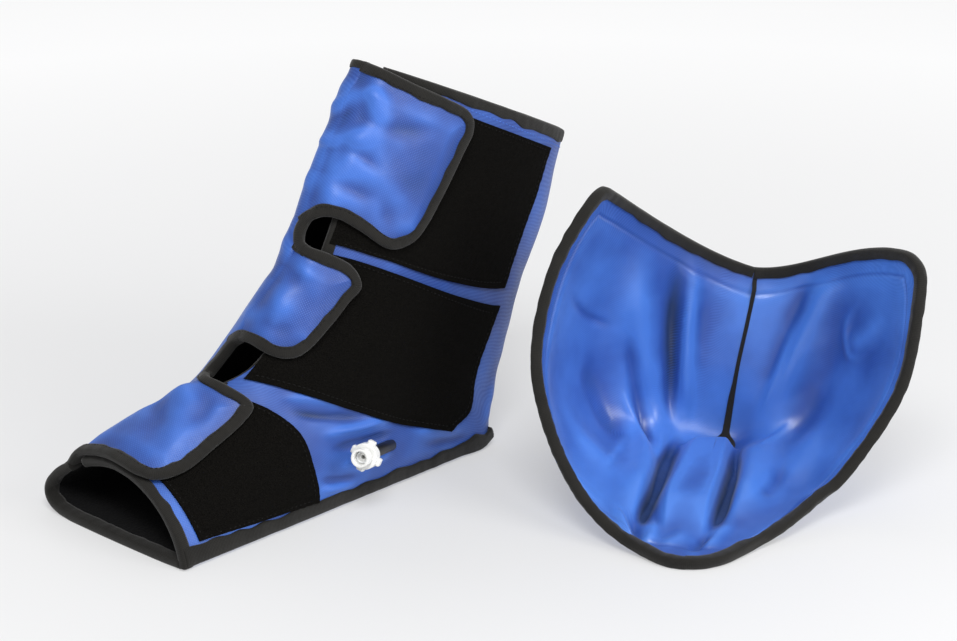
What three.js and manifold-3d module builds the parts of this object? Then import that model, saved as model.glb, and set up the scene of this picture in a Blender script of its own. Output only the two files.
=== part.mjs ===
// Cold compression wrap for the foot and ankle: an open-toed boot with an air bladder in its wall and
// three closure flaps, and the removable cold insert that lines its heel, standing beside it.
// Millimetres, +Z up. The boot's own frame has X from the toe opening to the heel, Y from the seam side
// to the folded side, and its corner where the sole seam meets the toe opening.

import * as THREE from "three";
import { mergeVertices } from "three/addons/utils/BufferGeometryUtils.js";
import Module from "manifold-3d";

// ---------------------------------------------------------------- driving dimensions

const ORIGIN_IN_BOOT = [213.17, -63.49]; // the part's origin, in the boot's own frame
const INSERT_PLACE = [225, -223]; // front edge of the insert's sole, in the boot's own frame
const INSERT_TURN = -45; // degrees about Z, from the boot's frame to the insert's

const WALL = { shell: [0, -1], bladder: [-1.3, -4.5], lining: [-4.8, -5.7] }; // depth below the wall's face
const RIM_BAR = [0.5, -5.9]; // binding round the wall's edges, its two faces
const BINDING_WIDTH = 7.5;
const JOIN_GAP = 0.35; // clearance between neighbours
const EDGE_ROOM = 1.9; // between a panel and the binding round its free edge
const FRONT_ROOM = 1.6; // between the front edge's binding and the panel, where the edge slants
const SEAM_HEIGHT = 8; // the sole seam's binding, up the near wall
const SEAM_BAR = [0.8, -2.8];
const SEAM_COLUMNS = 12;
const HEEL_ROW = 5; // the station whose back point is the heel's corner
const FOLD_ROW = 7.2; // from here up the back is a plain fold
const SEAM_ROOM = 1.4; // how far the near wall stops above the seam's binding
const HEEL_ROOM = 3.8; // how far the wall stops short of the heel's corner
const SOLE_ROOM = 4.2; // and the sole short of its seam

const FIELD = [1.8, 0.8]; // loop fields, above the wall's face
const FLAP_RISE = 6.6; // the closed flap's outer face, above the wall's face
const FLAP_COVER = 1.6;
const FLAP_PAD = [2.9, 3.7]; // hook patch, below the flap's outer face
const FLAP_BAR = [0.3, 2.6]; // its binding, above and below the flap's outer face
const ROOT_GAP = 1.2; // between a flap's root and the wall that it hinges on
const HOOK_INSET = 15; // the hook patch, in from the flap's edge
const HOOK_START = 0.45; // and its start, as a share of the way from root to tip

const TUBE = { outer: 4, inner: 2.6, length: 36, sides: 16 };
const PORT = [178, -2.6, 32.5]; // where the tube leaves the wall
const TUBE_DIRECTION = [-0.88, -0.42, 0.24];
const POCKET = { radius: TUBE.outer + 0.45, start: -0.8, length: 30, sides: 20 }; // cut for it in the wall
const PORT_GAP = 0.4;
const BODY = {
  bore: 1.3, barb: 2.3, barbLong: 10, flange: 6.6, flangeLong: 3, barrel: 5.2,
  nozzle: 6.3, nozzleLong: 7, mouth: 4.6, seat: 1,
};
const COLLAR = {
  inner: 5.55, outer: 8.8, length: 9, play: 0.6,
  tabs: 4, tabIn: 6.55, tabOut: 11, tabWide: 5.5, tabLong: 5, turn: 0.35,
};
const SEAL = { middle: 3.6, radius: 0.65, sides: 8 };
const TURN_SIDES = 24;

const INSERT_LAYERS = { face: [0, -0.9], core: [-1.2, -5.2], back: [-5.5, -6.4] };
const INSERT_BAR = [0.6, -6.4];
const INSERT_BINDING = 7;
const INSERT_ROOM = 2.4; // between its sheets and its binding
const SEAM_TAPE = { faces: [2, 1.2], halfWidth: 2.4, from: 3.4, to: 4.8, columns: 2, rows: 8 };
const INSERT_STACK = 6.4; // thickness of all its layers

// ---------------------------------------------------------------- materials

const material = (color, roughness, metalness = 0) =>
  new THREE.MeshStandardMaterial({ color, roughness, metalness });
const NYLON = material(0x3a62c8, 0.5);
const FILM = material(0x4a78dc, 0.35);
const TAPE = material(0x2c2b29, 0.85);
const LOOP = material(0x121110, 0.95);
const LINING = material(0x1a1a1c, 0.9);
const BLADDER = material(0x8d949c, 0.5);
const CORE = material(0xb8c6dc, 0.4);
const RUBBER = material(0x17171a, 0.6);
const WHITE = material(0xf2f2f0, 0.35);

// ---------------------------------------------------------------- surfaces

// The boot's wall is one closed tube. Each station is a cross-section: a near curve from the front ridge
// to the back line, and a far curve from the back line round to the ridge. The back line is the sole seam
// under the foot and the fold up the back of the leg. The shoulders and feet shape each curve's ends.
const STATIONS = [
  { ridge: [2, 75, 50], back: [0, 0, 0], nearTop: 50,
    nearLow: [0, -1, 18], farTop: [53, -2], farLow: [-20, 222, -22] },
  { ridge: [46, 72, 71], back: [58, 0, 0], nearTop: 46,
    nearLow: [0, -5, 28], farTop: [54, -5], farLow: [0, 206, -38] },
  { ridge: [80, 64, 93], back: [120, 0, 0], nearTop: 46,
    nearLow: [0, -9, 38], farTop: [52, -4], farLow: [0, 182, -38] },
  { ridge: [100, 55, 120], back: [190, 0, 0], nearTop: 45,
    nearLow: [0, -11, 46], farTop: [50, -2], farLow: [0, 160, -38] },
  { ridge: [119, 50, 148], back: [243, 0, 0], nearTop: 44,
    nearLow: [0, -12, 42], farTop: [50, -2], farLow: [0, 136, -36] },
  { ridge: [133, 48, 168], back: [272, 0, 1], nearTop: 44,
    nearLow: [0, -12, 29], farTop: [48, -1], farLow: [0, 96, -20] },
  { ridge: [144, 48, 188], back: [285, 9, 27], nearTop: 46,
    nearLow: [0, -20, 9], farTop: [48, 0], farLow: [0, 57, -5] },
  { ridge: [155, 48, 211], back: [301, 18, 55], nearTop: 47,
    nearLow: [0, -30, 3], farTop: [48, 0], farLow: [0, 42, -2] },
  { ridge: [169, 48, 236], back: [329, 26, 104], nearTop: 48,
    nearLow: [0, -34, 1], farTop: [47, 0], farLow: [0, 37, 0] },
  { ridge: [186, 48, 262], back: [356, 28, 157], nearTop: 48,
    nearLow: [0, -35, 0], farTop: [46, 0], farLow: [0, 36, 0] },
  { ridge: [202, 48, 288], back: [375, 28, 209.5], nearTop: 49,
    nearLow: [0, -36, 0], farTop: [45, 0], farLow: [0, 36, 0] },
];

const vec = (p) => new THREE.Vector3(...p);
const rail = (points) => new THREE.CatmullRomCurve3(points, false, "catmullrom", 0.5);
const rails = {
  ridge: rail(STATIONS.map((s) => vec(s.ridge))),
  nearTop: rail(STATIONS.map((s) => vec(s.ridge).add(vec([0, -s.nearTop, 0])))),
  nearLow: rail(STATIONS.map((s) => vec(s.back).add(vec(s.nearLow)))),
  back: rail(STATIONS.map((s) => vec(s.back))),
  farLow: rail(STATIONS.map((s) => vec(s.back).add(vec(s.farLow)))),
  farTop: rail(STATIONS.map((s) => vec(s.ridge).add(vec([0, s.farTop[0], s.farTop[1]])))),
};
const LAST_ROW = STATIONS.length - 1;
const FLOOR_EASE = 5; // how softly the sole flattens on the floor

function onFloor(z) {
  if (z > FLOOR_EASE) return z;
  return z < -FLOOR_EASE ? 0 : (z + FLOOR_EASE) ** 2 / (4 * FLOOR_EASE);
}

// A point of the wall: across 0 to 1 is the near side from ridge to back line, 1 to 2 the far side from
// the back line to the ridge, and below 0 the far side again; along 0 to 10 runs from toe to top.
function bootPoint(across, along) {
  const k = THREE.MathUtils.clamp(along / LAST_ROW, 0, 1);
  const on = (name) => rails[name].getPoint(k);
  const turn = across < 0 ? across + 2 : across;
  const curve =
    turn <= 1
      ? new THREE.CubicBezierCurve3(on("ridge"), on("nearTop"), on("nearLow"), on("back"))
      : new THREE.CubicBezierCurve3(on("back"), on("farLow"), on("farTop"), on("ridge"));
  const point = curve.getPoint(turn <= 1 ? turn : turn - 1);
  point.z = onFloor(point.z);
  return point;
}

// The insert's inner face: ribs from the left edge (-1) through the spine (0) to the right edge (1), and
// from the front of the sole (0) back along the floor to the heel (3) and up the back seam (5). Each rib
// has three control points on either side of its spine point.
const RIBS = [
  { spine: [2, 0, 6.4], left: [[-8, 1, 6.4], [-22, 8, 6.4], [-30, 16, 6.4]],
    right: [[18, -1, 6.4], [38, 6, 6.4], [52, 30, 6.4]] },
  { spine: [14, 60, 6.4], left: [[-25, 62, 6.4], [-58, 58, 11], [-64, 54, 38]],
    right: [[50, 56, 6.4], [80, 58, 6], [92, 66, 24]] },
  { spine: [28, 120, 6.4], left: [[-20, 122, 6.4], [-76, 112, 24], [-83, 75, 76]],
    right: [[70, 118, 6.4], [107, 108, 11], [112, 76, 35]] },
  { spine: [43, 182, 9], left: [[-10, 186, 17], [-83, 160, 60], [-89, 90, 116]],
    right: [[85, 178, 13], [140, 150, 44], [147, 92, 86]] },
  { spine: [51, 190, 66], left: [[5, 202, 75], [-70, 172, 120], [-77, 105, 168]],
    right: [[88, 194, 70], [148, 166, 106], [157, 100, 138]] },
  { spine: [63, 196, 134], left: [[22, 196, 146], [-34, 155, 200], [-47, 120, 219]],
    right: [[98, 200, 129], [130, 154, 176], [161, 112, 171]] },
];
const LAST_RIB = RIBS.length - 1;
const spineRail = rail(RIBS.map((r) => vec(r.spine)));
const sideRails = {
  left: [0, 1, 2].map((i) => rail(RIBS.map((r) => vec(r.left[i])))),
  right: [0, 1, 2].map((i) => rail(RIBS.map((r) => vec(r.right[i])))),
};

function insertPoint(across, along) {
  const k = THREE.MathUtils.clamp(along / LAST_RIB, 0, 1);
  const side = across < 0 ? sideRails.left : sideRails.right;
  const [a, b, c] = side.map((s) => s.getPoint(k));
  const rib = new THREE.CubicBezierCurve3(spineRail.getPoint(k), a, b, c);
  return rib.getPoint(Math.min(1, Math.abs(across)));
}

// A patch of a surface: its point, the range that its slopes are taken in, and the height that it keeps
// above the floor, for the layers under it. Heights count from it along the normal: out of the boot, and
// in to the hollow of the insert.
const STEP = 1e-3;
const patchOf = (point, low, high, rows, lift) => ({ point, low, high, rows, lift });
const NEAR = patchOf(bootPoint, -0.6, 1, LAST_ROW, 0);
const FAR = patchOf(bootPoint, 1, 2, LAST_ROW, 0);
const LEFT = patchOf(insertPoint, -1, 0, LAST_RIB, INSERT_STACK);
const RIGHT = patchOf(insertPoint, 0, 1, LAST_RIB, INSERT_STACK);
const SPINE = patchOf(insertPoint, -1, 1, LAST_RIB, INSERT_STACK);

function slopes(patch, across, along) {
  const a = THREE.MathUtils.clamp(across, patch.low + STEP, patch.high - STEP);
  const b = THREE.MathUtils.clamp(along, STEP, patch.rows - STEP);
  const du = patch.point(a + STEP, b).sub(patch.point(a - STEP, b)).divideScalar(2 * STEP);
  const dv = patch.point(a, b + STEP).sub(patch.point(a, b - STEP)).divideScalar(2 * STEP);
  return { du, dv, normal: du.clone().cross(dv).normalize() };
}

// Where a walk of so many millimetres within the surface ends, as (across, along).
const WALK_STEPS = 6;
function walk(patch, start, direction, distance) {
  let [across, along] = start;
  const step = distance / WALK_STEPS;
  for (let i = 0; i < WALK_STEPS; i += 1) {
    const { du, dv } = slopes(patch, across, along);
    const aa = du.dot(du);
    const ab = du.dot(dv);
    const bb = dv.dot(dv);
    const ra = direction.dot(du);
    const rb = direction.dot(dv);
    const det = aa * bb - ab * ab;
    across += (step * (ra * bb - rb * ab)) / det;
    along += (step * (rb * aa - ra * ab)) / det;
  }
  return [across, along];
}

// ---------------------------------------------------------------- solids

// Turns a closed geometry's faces outwards.
function facingOut(geometry) {
  const merged = mergeVertices(geometry, 1e-4);
  const p = merged.getAttribute("position");
  const index = merged.getIndex();
  const corner = (i) => new THREE.Vector3().fromBufferAttribute(p, index.getX(i));
  let volume = 0;
  for (let i = 0; i < index.count; i += 3) {
    volume += corner(i).dot(corner(i + 1).cross(corner(i + 2)));
  }
  if (volume < 0) {
    for (let i = 0; i < index.count; i += 3) {
      const kept = index.getX(i + 1);
      index.setX(i + 1, index.getX(i + 2));
      index.setX(i + 2, kept);
    }
  }
  merged.computeVertexNormals();
  return merged;
}

// The vertex numbers round the border of a plane's grid, in order.
function borderOf(columns, rows) {
  const wide = columns + 1;
  const loop = [];
  for (let i = 0; i < columns; i += 1) loop.push(i);
  for (let j = 0; j < rows; j += 1) loop.push(j * wide + columns);
  for (let i = columns; i > 0; i -= 1) loop.push(rows * wide + i);
  for (let j = rows; j > 0; j -= 1) loop.push(j * wide);
  return loop;
}

// A curved slab: two copies of a plane's grid, each vertex moved to its place on the surface and then out
// along the normal to the upper or the lower face, and a wall round their border. Both faces split their
// cells the same way, so that slabs on one grid lie parallel.
function slab(patch, place, upper, lower, columns, rows) {
  const plane = new THREE.PlaneGeometry(1, 1, columns, rows);
  const flat = plane.getAttribute("position");
  const count = flat.count;
  const points = new Float32Array(count * 6);
  for (let i = 0; i < count; i += 1) {
    const [across, along] = place(flat.getX(i) + 0.5, flat.getY(i) + 0.5);
    const { normal } = slopes(patch, across, along);
    [upper, lower].forEach((heightAt, face) => {
      const height = heightAt(across, along);
      const point = patch.point(across, along).addScaledVector(normal, height);
      point.z = Math.max(point.z, patch.lift ? patch.lift + height : 0);
      point.toArray(points, (i + face * count) * 3);
    });
  }
  const cells = [...plane.getIndex().array];
  const index = [...cells];
  for (let i = 0; i < cells.length; i += 3) {
    index.push(cells[i] + count, cells[i + 2] + count, cells[i + 1] + count);
  }
  const border = borderOf(columns, rows);
  border.forEach((here, i) => {
    const next = border[(i + 1) % border.length];
    index.push(here, next, next + count, here, next + count, here + count);
  });
  const geometry = new THREE.BufferGeometry();
  geometry.setAttribute("position", new THREE.BufferAttribute(points, 3));
  geometry.setIndex(index);
  return facingOut(geometry);
}

// A slab whose two faces keep fixed heights.
const layer = (patch, place, [upper, lower], columns, rows) =>
  slab(patch, place, () => upper, () => lower, columns, rows);

const mix = THREE.MathUtils.lerp;
const ease = (x, from, to) => THREE.MathUtils.smoothstep(x, from, to);

// A curve of (across, along) pairs through a few points.
function trace(points) {
  const curve = new THREE.SplineCurve(points.map((q) => new THREE.Vector2(...q)));
  return (u) => curve.getPoint(THREE.MathUtils.clamp(u, 0, 1)).toArray();
}

// The four-sided patch inside four traces that meet at its corners.
function between(bottom, top, left, right) {
  return (u, v) => {
    const b = bottom(u);
    const t = top(u);
    const l = left(v);
    const r = right(v);
    const corners = [bottom(0), bottom(1), top(0), top(1)];
    return [0, 1].map(
      (i) =>
        mix(b[i], t[i], v) +
        mix(l[i], r[i], u) -
        mix(mix(corners[0][i], corners[1][i], u), mix(corners[2][i], corners[3][i], u), v),
    );
  };
}

// ---------------------------------------------------------------- the boot's wall

const product = new THREE.Group();
const boot = new THREE.Group();
boot.position.set(-ORIGIN_IN_BOOT[0], -ORIGIN_IN_BOOT[1], 0);
product.add(boot);

function addMesh(group, name, geometry, finish) {
  const mesh = new THREE.Mesh(geometry, finish);
  mesh.name = name;
  group.add(mesh);
  return mesh;
}

const NEAR_EDGE = trace([
  [-0.18, 0], [-0.1, 0.9], [0.06, 1.8], [0.15, 2.6], [0.15, 4], [0.15, 6], [0.15, 8], [0.15, 10],
]);
const FLAP_ROOT = trace([
  [-0.3, 0], [-0.17, 1], [-0.09, 2.1], [-0.03, 3.2], [0.01, 4.5], [0.03, 5.7], [0.03, 7.8], [0.03, 10],
]);

// The across value of a trace at one row, by halving.
function acrossAt(line, along) {
  let low = 0;
  let high = 1;
  for (let i = 0; i < 30; i += 1) {
    const middle = (low + high) / 2;
    if (line(middle)[1] < along) low = middle;
    else high = middle;
  }
  return line((low + high) / 2)[0];
}

// How far along the row a distance from the back line reaches, as a change of across.
function backStep(patch, along, distance) {
  return distance / slopes(patch, 1, along).du.length();
}

// The wall stops short of the back line: clear of the binding along the sole, clear of its other side at
// the heel's corner, and only a gap away from it at the fold.
function roomAtBack(along, atSeam) {
  const atCorner = mix(atSeam, HEEL_ROOM, ease(along, HEEL_ROW + 0.1, HEEL_ROW + 0.6));
  return mix(atCorner, JOIN_GAP, ease(along, HEEL_ROW + 1, FOLD_ROW));
}
const nearEnd = (along) => 1 - backStep(NEAR, along, roomAtBack(along, SEAM_HEIGHT + SEAM_ROOM));
const farStart = (along) => 1 + backStep(FAR, along, roomAtBack(along, SOLE_ROOM));

// A distance in from the toe's rim or the top's, as a change of along: the same all round the rim.
function rimStep(patch, distance, end) {
  return distance / slopes(patch, patch === NEAR ? 0.5 : 1.5, end * LAST_ROW).dv.length();
}

// Rows from toe to top, leaving a margin at either end.
function rowAt(patch, v, margin) {
  return mix(rimStep(patch, margin, 0), LAST_ROW - rimStep(patch, margin, 1), v);
}

const NEAR_COLUMNS = 8;
const FAR_COLUMNS = 10;
const WALL_ROWS = 16;
const INSIDE = BINDING_WIDTH + 2 * JOIN_GAP;

function nearPlace(margin, edge) {
  return (u, v) => {
    const along = rowAt(NEAR, v, margin);
    const first = acrossAt(NEAR_EDGE, along);
    const start = first + edge / slopes(NEAR, first, along).du.length();
    return [mix(start, nearEnd(along), u), along];
  };
}

function farPlace(margin) {
  return (u, v) => {
    const along = rowAt(FAR, v, margin);
    const root = 2 + acrossAt(FLAP_ROOT, along);
    const end = root - JOIN_GAP / slopes(FAR, root, along).du.length();
    return [mix(farStart(along), end, u), along];
  };
}

for (const [name, finish] of [["shell", NYLON], ["bladder", BLADDER], ["lining", LINING]]) {
  const nearSheet = nearPlace(INSIDE, BINDING_WIDTH + FRONT_ROOM);
  const near = layer(NEAR, nearSheet, WALL[name], NEAR_COLUMNS, WALL_ROWS);
  addMesh(boot, "near_" + name, near, finish);
  const far = layer(FAR, farPlace(INSIDE), WALL[name], FAR_COLUMNS, WALL_ROWS);
  addMesh(boot, "far_" + name, far, finish);
}

// ---------------------------------------------------------------- bindings of the wall

// The last strip of a patch's rows, at the toe or at the top.
function rimStrip(patch, place, end) {
  return (u, v) => {
    const inwards = rimStep(patch, BINDING_WIDTH, end) * v;
    return [place(u, end)[0], end ? LAST_ROW - inwards : inwards];
  };
}

for (const [name, end] of [["toe", 0], ["top", 1]]) {
  const near = rimStrip(NEAR, nearPlace(0, 0), end);
  const far = rimStrip(FAR, farPlace(0), end);
  addMesh(boot, "near_" + name + "_binding", layer(NEAR, near, RIM_BAR, NEAR_COLUMNS, 1), TAPE);
  addMesh(boot, "far_" + name + "_binding", layer(FAR, far, RIM_BAR, FAR_COLUMNS, 1), TAPE);
}

// The near panel's front edge, under the flaps.
function frontStrip(u, v) {
  const along = rowAt(NEAR, v, INSIDE);
  const first = acrossAt(NEAR_EDGE, along);
  return [first + (BINDING_WIDTH * u) / slopes(NEAR, first, along).du.length(), along];
}
addMesh(boot, "front_edge_binding", layer(NEAR, frontStrip, RIM_BAR, 1, WALL_ROWS), TAPE);

// The sole seam's binding, from the toe to the heel's corner.
function seamPlace(u, v) {
  const along = mix(0.16, HEEL_ROW, u);
  return [1 - backStep(NEAR, along, mix(0.2, SEAM_HEIGHT, v)), along];
}
const seamBody = layer(NEAR, seamPlace, SEAM_BAR, SEAM_COLUMNS, 1);
addMesh(boot, "sole_seam_binding", seamBody, TAPE);

// ---------------------------------------------------------------- loop fields on the near wall

// Each field is a four-sided patch of loop fabric: its bottom and top run away from the ridge.
const FIELDS = {
  top: {
    bottom: [[0.23, 6.15], [0.28, 6.37], [0.38, 6.75], [0.56, 7.3], [0.75, 7.75]],
    top: [[0.25, 9.72], [0.425, 9.7], [0.6, 9.72], [0.77, 9.72]],
  },
  middle: {
    bottom: [[0.25, 2.33], [0.38, 2.55], [0.56, 2.86], [0.72, 3.3], [0.82, 3.95]],
    top: [[0.24, 5.92], [0.32, 6.28], [0.448, 6.75], [0.6, 7.2], [0.755, 7.5]],
    end: [[0.82, 3.95], [0.775, 4.7], [0.745, 5.5], [0.735, 6.5], [0.755, 7.5]],
  },
  toe: {
    bottom: [[0.2, 0.24], [0.397, 0.24], [0.6, 0.24], [0.76, 0.26]],
    top: [[0.24, 1.9], [0.36, 2.04], [0.52, 2.1], [0.71, 1.98], [0.86, 1.9]],
  },
};
const FIELD_COLUMNS = 8;
const FIELD_ROWS = 6;
for (const [name, sides] of Object.entries(FIELDS)) {
  const { bottom, top } = sides;
  const start = trace([bottom[0], top[0]]);
  const end = trace(sides.end || [bottom[bottom.length - 1], top[top.length - 1]]);
  const place = between(trace(bottom), trace(top), start, end);
  addMesh(boot, "loop_field_" + name, layer(NEAR, place, FIELD, FIELD_COLUMNS, FIELD_ROWS), LOOP);
}

// ---------------------------------------------------------------- closure flaps

// Each flap's free edge runs from its root along the bottom, round the tip and back along the top. The
// marks are where the bottom and the top end, as shares of the edge's points.
const FLAPS = {
  top: {
    edge: [
      [0.035, 6.02], [0.085, 6.32], [0.13, 6.56], [0.17, 6.69], [0.235, 6.75], [0.325, 6.86], [0.38, 7.24],
      [0.405, 7.7], [0.42, 8.35], [0.43, 8.97], [0.438, 9.45], [0.412, 9.72], [0.333, 9.8], [0.23, 9.85],
      [0.13, 9.9], [0.035, 9.96],
    ],
    tip: [6.5, 10.5],
  },
  middle: {
    edge: [
      [-0.055, 2.72], [0.0, 2.82], [0.08, 2.86], [0.18, 2.86], [0.25, 2.96], [0.284, 3.25], [0.29, 4.0],
      [0.286, 4.8], [0.294, 5.5], [0.25, 5.8], [0.17, 5.68], [0.1, 5.52], [0.035, 5.56],
    ],
    tip: [5.3, 8.5],
  },
  toe: {
    edge: [
      [-0.285, 0.04], [-0.1, 0.04], [0.1, 0.04], [0.2, 0.07], [0.3, 0.2], [0.362, 0.55], [0.355, 1.07],
      [0.33, 1.62], [0.285, 1.93], [0.14, 1.94], [0.03, 1.92], [-0.03, 2.02], [-0.08, 2.14],
    ],
    tip: [4.6, 7.7],
  },
};
const FLAP_COLUMNS = 9;
const FLAP_ROWS = 6;
const HOOK_COLUMNS = 5;

// How far the flap's outer face stands off the wall's: level with it at the root, clear of the near panel
// and its field from the panel's front edge on.
function flapHeight(across, along) {
  const root = acrossAt(FLAP_ROOT, along);
  return FLAP_RISE * ease(across, root, acrossAt(NEAR_EDGE, along) - 0.01);
}

// A free edge, and the same edge moved in by a distance to the side that turn gives.
function freeEdge(patch, points, turn) {
  const line = trace(points);
  return (s, distance) => {
    const here = line(s);
    if (!distance) return here;
    const before = line(s - STEP);
    const after = line(s + STEP);
    const { du, dv, normal } = slopes(patch, ...here);
    const tangent = du.multiplyScalar(after[0] - before[0]).addScaledVector(dv, after[1] - before[1]);
    return walk(patch, here, normal.cross(tangent).normalize(), turn * distance);
  };
}

// The patch inside a free edge, moved in all round: bottom, tip, top and the line along the root.
function insidePatch(inset, distance, [tipStart, tipEnd]) {
  const bottom = (u) => inset(u * tipStart, distance);
  const top = (u) => inset(1 - u * (1 - tipEnd), distance);
  const tip = (v) => inset(mix(tipStart, tipEnd, v), distance);
  const root = (v) => [0, 1].map((i) => mix(bottom(0)[i], top(0)[i], v));
  return between(bottom, top, root, tip);
}

// The strip along a free edge, with a step at each column and row of the patch inside it.
function edgeStrip(inset, width, [tipStart, tipEnd], columns, rows) {
  const steps = 2 * columns + rows;
  return (u, v) => {
    const k = u * steps;
    let s = (k / columns) * tipStart;
    if (k > columns) s = mix(tipStart, tipEnd, (k - columns) / rows);
    if (k > columns + rows) s = mix(tipEnd, 1, (k - columns - rows) / columns);
    return inset(s, width * v);
  };
}

// Keeps a flap's points on its own side of the root.
function pastRoot(place) {
  return (u, v) => {
    const [across, along] = place(u, v);
    const root = acrossAt(FLAP_ROOT, along);
    return [Math.max(across, root + ROOT_GAP / slopes(NEAR, root, along).du.length()), along];
  };
}

for (const [name, { edge, tip }] of Object.entries(FLAPS)) {
  const flap = new THREE.Group();
  boot.add(flap);
  const inset = freeEdge(NEAR, edge, 1);
  const marks = tip.map((m) => m / (edge.length - 1));
  const under = (depth) => (across, along) => flapHeight(across, along) - depth;
  const cover = pastRoot(insidePatch(inset, BINDING_WIDTH + EDGE_ROOM, marks));
  const coverBody = slab(NEAR, cover, under(0), under(FLAP_COVER), FLAP_COLUMNS, FLAP_ROWS);
  addMesh(flap, "flap_" + name + "_cover", coverBody, NYLON);
  const strip = pastRoot(edgeStrip(inset, BINDING_WIDTH, marks, FLAP_COLUMNS, FLAP_ROWS));
  const steps = 2 * FLAP_COLUMNS + FLAP_ROWS;
  const bar = slab(NEAR, strip, under(-FLAP_BAR[0]), under(FLAP_BAR[1]), steps, 1);
  addMesh(flap, "flap_" + name + "_binding", bar, TAPE);
  const inner = insidePatch(inset, HOOK_INSET, marks);
  const hook = (u, v) => inner(mix(HOOK_START, 1, u), v);
  const patchBody = slab(NEAR, hook, under(FLAP_PAD[0]), under(FLAP_PAD[1]), HOOK_COLUMNS, FLAP_ROWS);
  addMesh(flap, "flap_" + name + "_hook", patchBody, LOOP);
}

// ---------------------------------------------------------------- air port: tube, fitting and collar

// A turned piece: a profile of [radius, distance along the axis] that closes on itself.
function turned(profile, sides) {
  const points = [...profile, profile[0]].map(([radius, along]) => new THREE.Vector2(radius, along));
  const geometry = new THREE.LatheGeometry(points, sides);
  geometry.deleteAttribute("normal");
  geometry.deleteAttribute("uv");
  return facingOut(geometry);
}

const solids = await Module();
solids.setup();

function toSolid(geometry) {
  const bare = geometry.clone();
  bare.deleteAttribute("normal");
  bare.deleteAttribute("uv");
  const merged = mergeVertices(bare, 1e-4);
  const vertProperties = merged.getAttribute("position").array;
  return new solids.Manifold(
    new solids.Mesh({ numProp: 3, vertProperties, triVerts: new Uint32Array(merged.getIndex().array) }),
  );
}

function fromSolid(solid) {
  const { vertProperties, triVerts } = solid.getMesh();
  const geometry = new THREE.BufferGeometry();
  geometry.setAttribute("position", new THREE.BufferAttribute(vertProperties, 3));
  geometry.setIndex([...triVerts]);
  return facingOut(geometry);
}

const port = new THREE.Group();
port.position.set(...PORT);
port.quaternion.setFromUnitVectors(new THREE.Vector3(0, 1, 0), vec(TUBE_DIRECTION).normalize());
boot.add(port);

// The tube lies half in a pocket of the shell and the bladder where it leaves them.
const pocket = new THREE.CylinderGeometry(POCKET.radius, POCKET.radius, POCKET.length, POCKET.sides);
pocket.translate(0, POCKET.start + POCKET.length / 2, 0);
port.updateMatrix();
pocket.applyMatrix4(port.matrix);
for (const name of ["near_shell", "near_bladder"]) {
  const wall = boot.getObjectByName(name);
  wall.geometry = fromSolid(toSolid(wall.geometry).subtract(toSolid(pocket)));
}

const end = TUBE.length;
const tube = [[TUBE.inner, 0], [TUBE.outer, 0], [TUBE.outer, end], [TUBE.inner, end]];
addMesh(port, "air_tube", turned(tube, TUBE.sides), RUBBER);

const FLANGE_AT = end + PORT_GAP;
const COLLAR_AT = FLANGE_AT + BODY.flangeLong + PORT_GAP;
const NOZZLE_AT = COLLAR_AT + COLLAR.length + COLLAR.play;
const body = [
  [BODY.bore, end - BODY.barbLong], [BODY.barb, end - BODY.barbLong],
  [BODY.barb, FLANGE_AT], [BODY.flange, FLANGE_AT],
  [BODY.flange, COLLAR_AT - PORT_GAP], [BODY.barrel, COLLAR_AT - PORT_GAP],
  [BODY.barrel, NOZZLE_AT], [BODY.nozzle, NOZZLE_AT],
  [BODY.nozzle, NOZZLE_AT + BODY.nozzleLong], [BODY.mouth, NOZZLE_AT + BODY.nozzleLong],
  [BODY.mouth, NOZZLE_AT + BODY.seat], [BODY.bore, NOZZLE_AT + BODY.seat],
];
addMesh(port, "fitting_body", turned(body, TURN_SIDES), WHITE);

const ring = turned(
  [[COLLAR.inner, COLLAR_AT], [COLLAR.outer, COLLAR_AT], [COLLAR.outer, COLLAR_AT + COLLAR.length],
    [COLLAR.inner, COLLAR_AT + COLLAR.length]],
  TURN_SIDES,
);
let collar = toSolid(ring);
for (let i = 0; i < COLLAR.tabs; i += 1) {
  const tab = new THREE.BoxGeometry(COLLAR.tabOut - COLLAR.tabIn, COLLAR.tabLong, COLLAR.tabWide);
  tab.translate((COLLAR.tabOut + COLLAR.tabIn) / 2, COLLAR_AT + COLLAR.length / 2, 0);
  tab.rotateY((2 * Math.PI * i) / COLLAR.tabs + COLLAR.turn);
  collar = collar.add(toSolid(tab));
}
addMesh(port, "locking_collar", fromSolid(collar), WHITE);

const seal = new THREE.TorusGeometry(SEAL.middle, SEAL.radius, SEAL.sides, TURN_SIDES);
seal.rotateX(Math.PI / 2);
seal.translate(0, NOZZLE_AT + BODY.seat + SEAL.radius + JOIN_GAP, 0);
addMesh(port, "mouth_seal", seal, RUBBER);

// ---------------------------------------------------------------- the cold insert

const insert = new THREE.Group();
insert.position.set(INSERT_PLACE[0], INSERT_PLACE[1], 0);
insert.rotation.z = THREE.MathUtils.degToRad(INSERT_TURN);
boot.add(insert);

const SPINE_GAP = 0.012; // across, from the spine to each half
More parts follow.
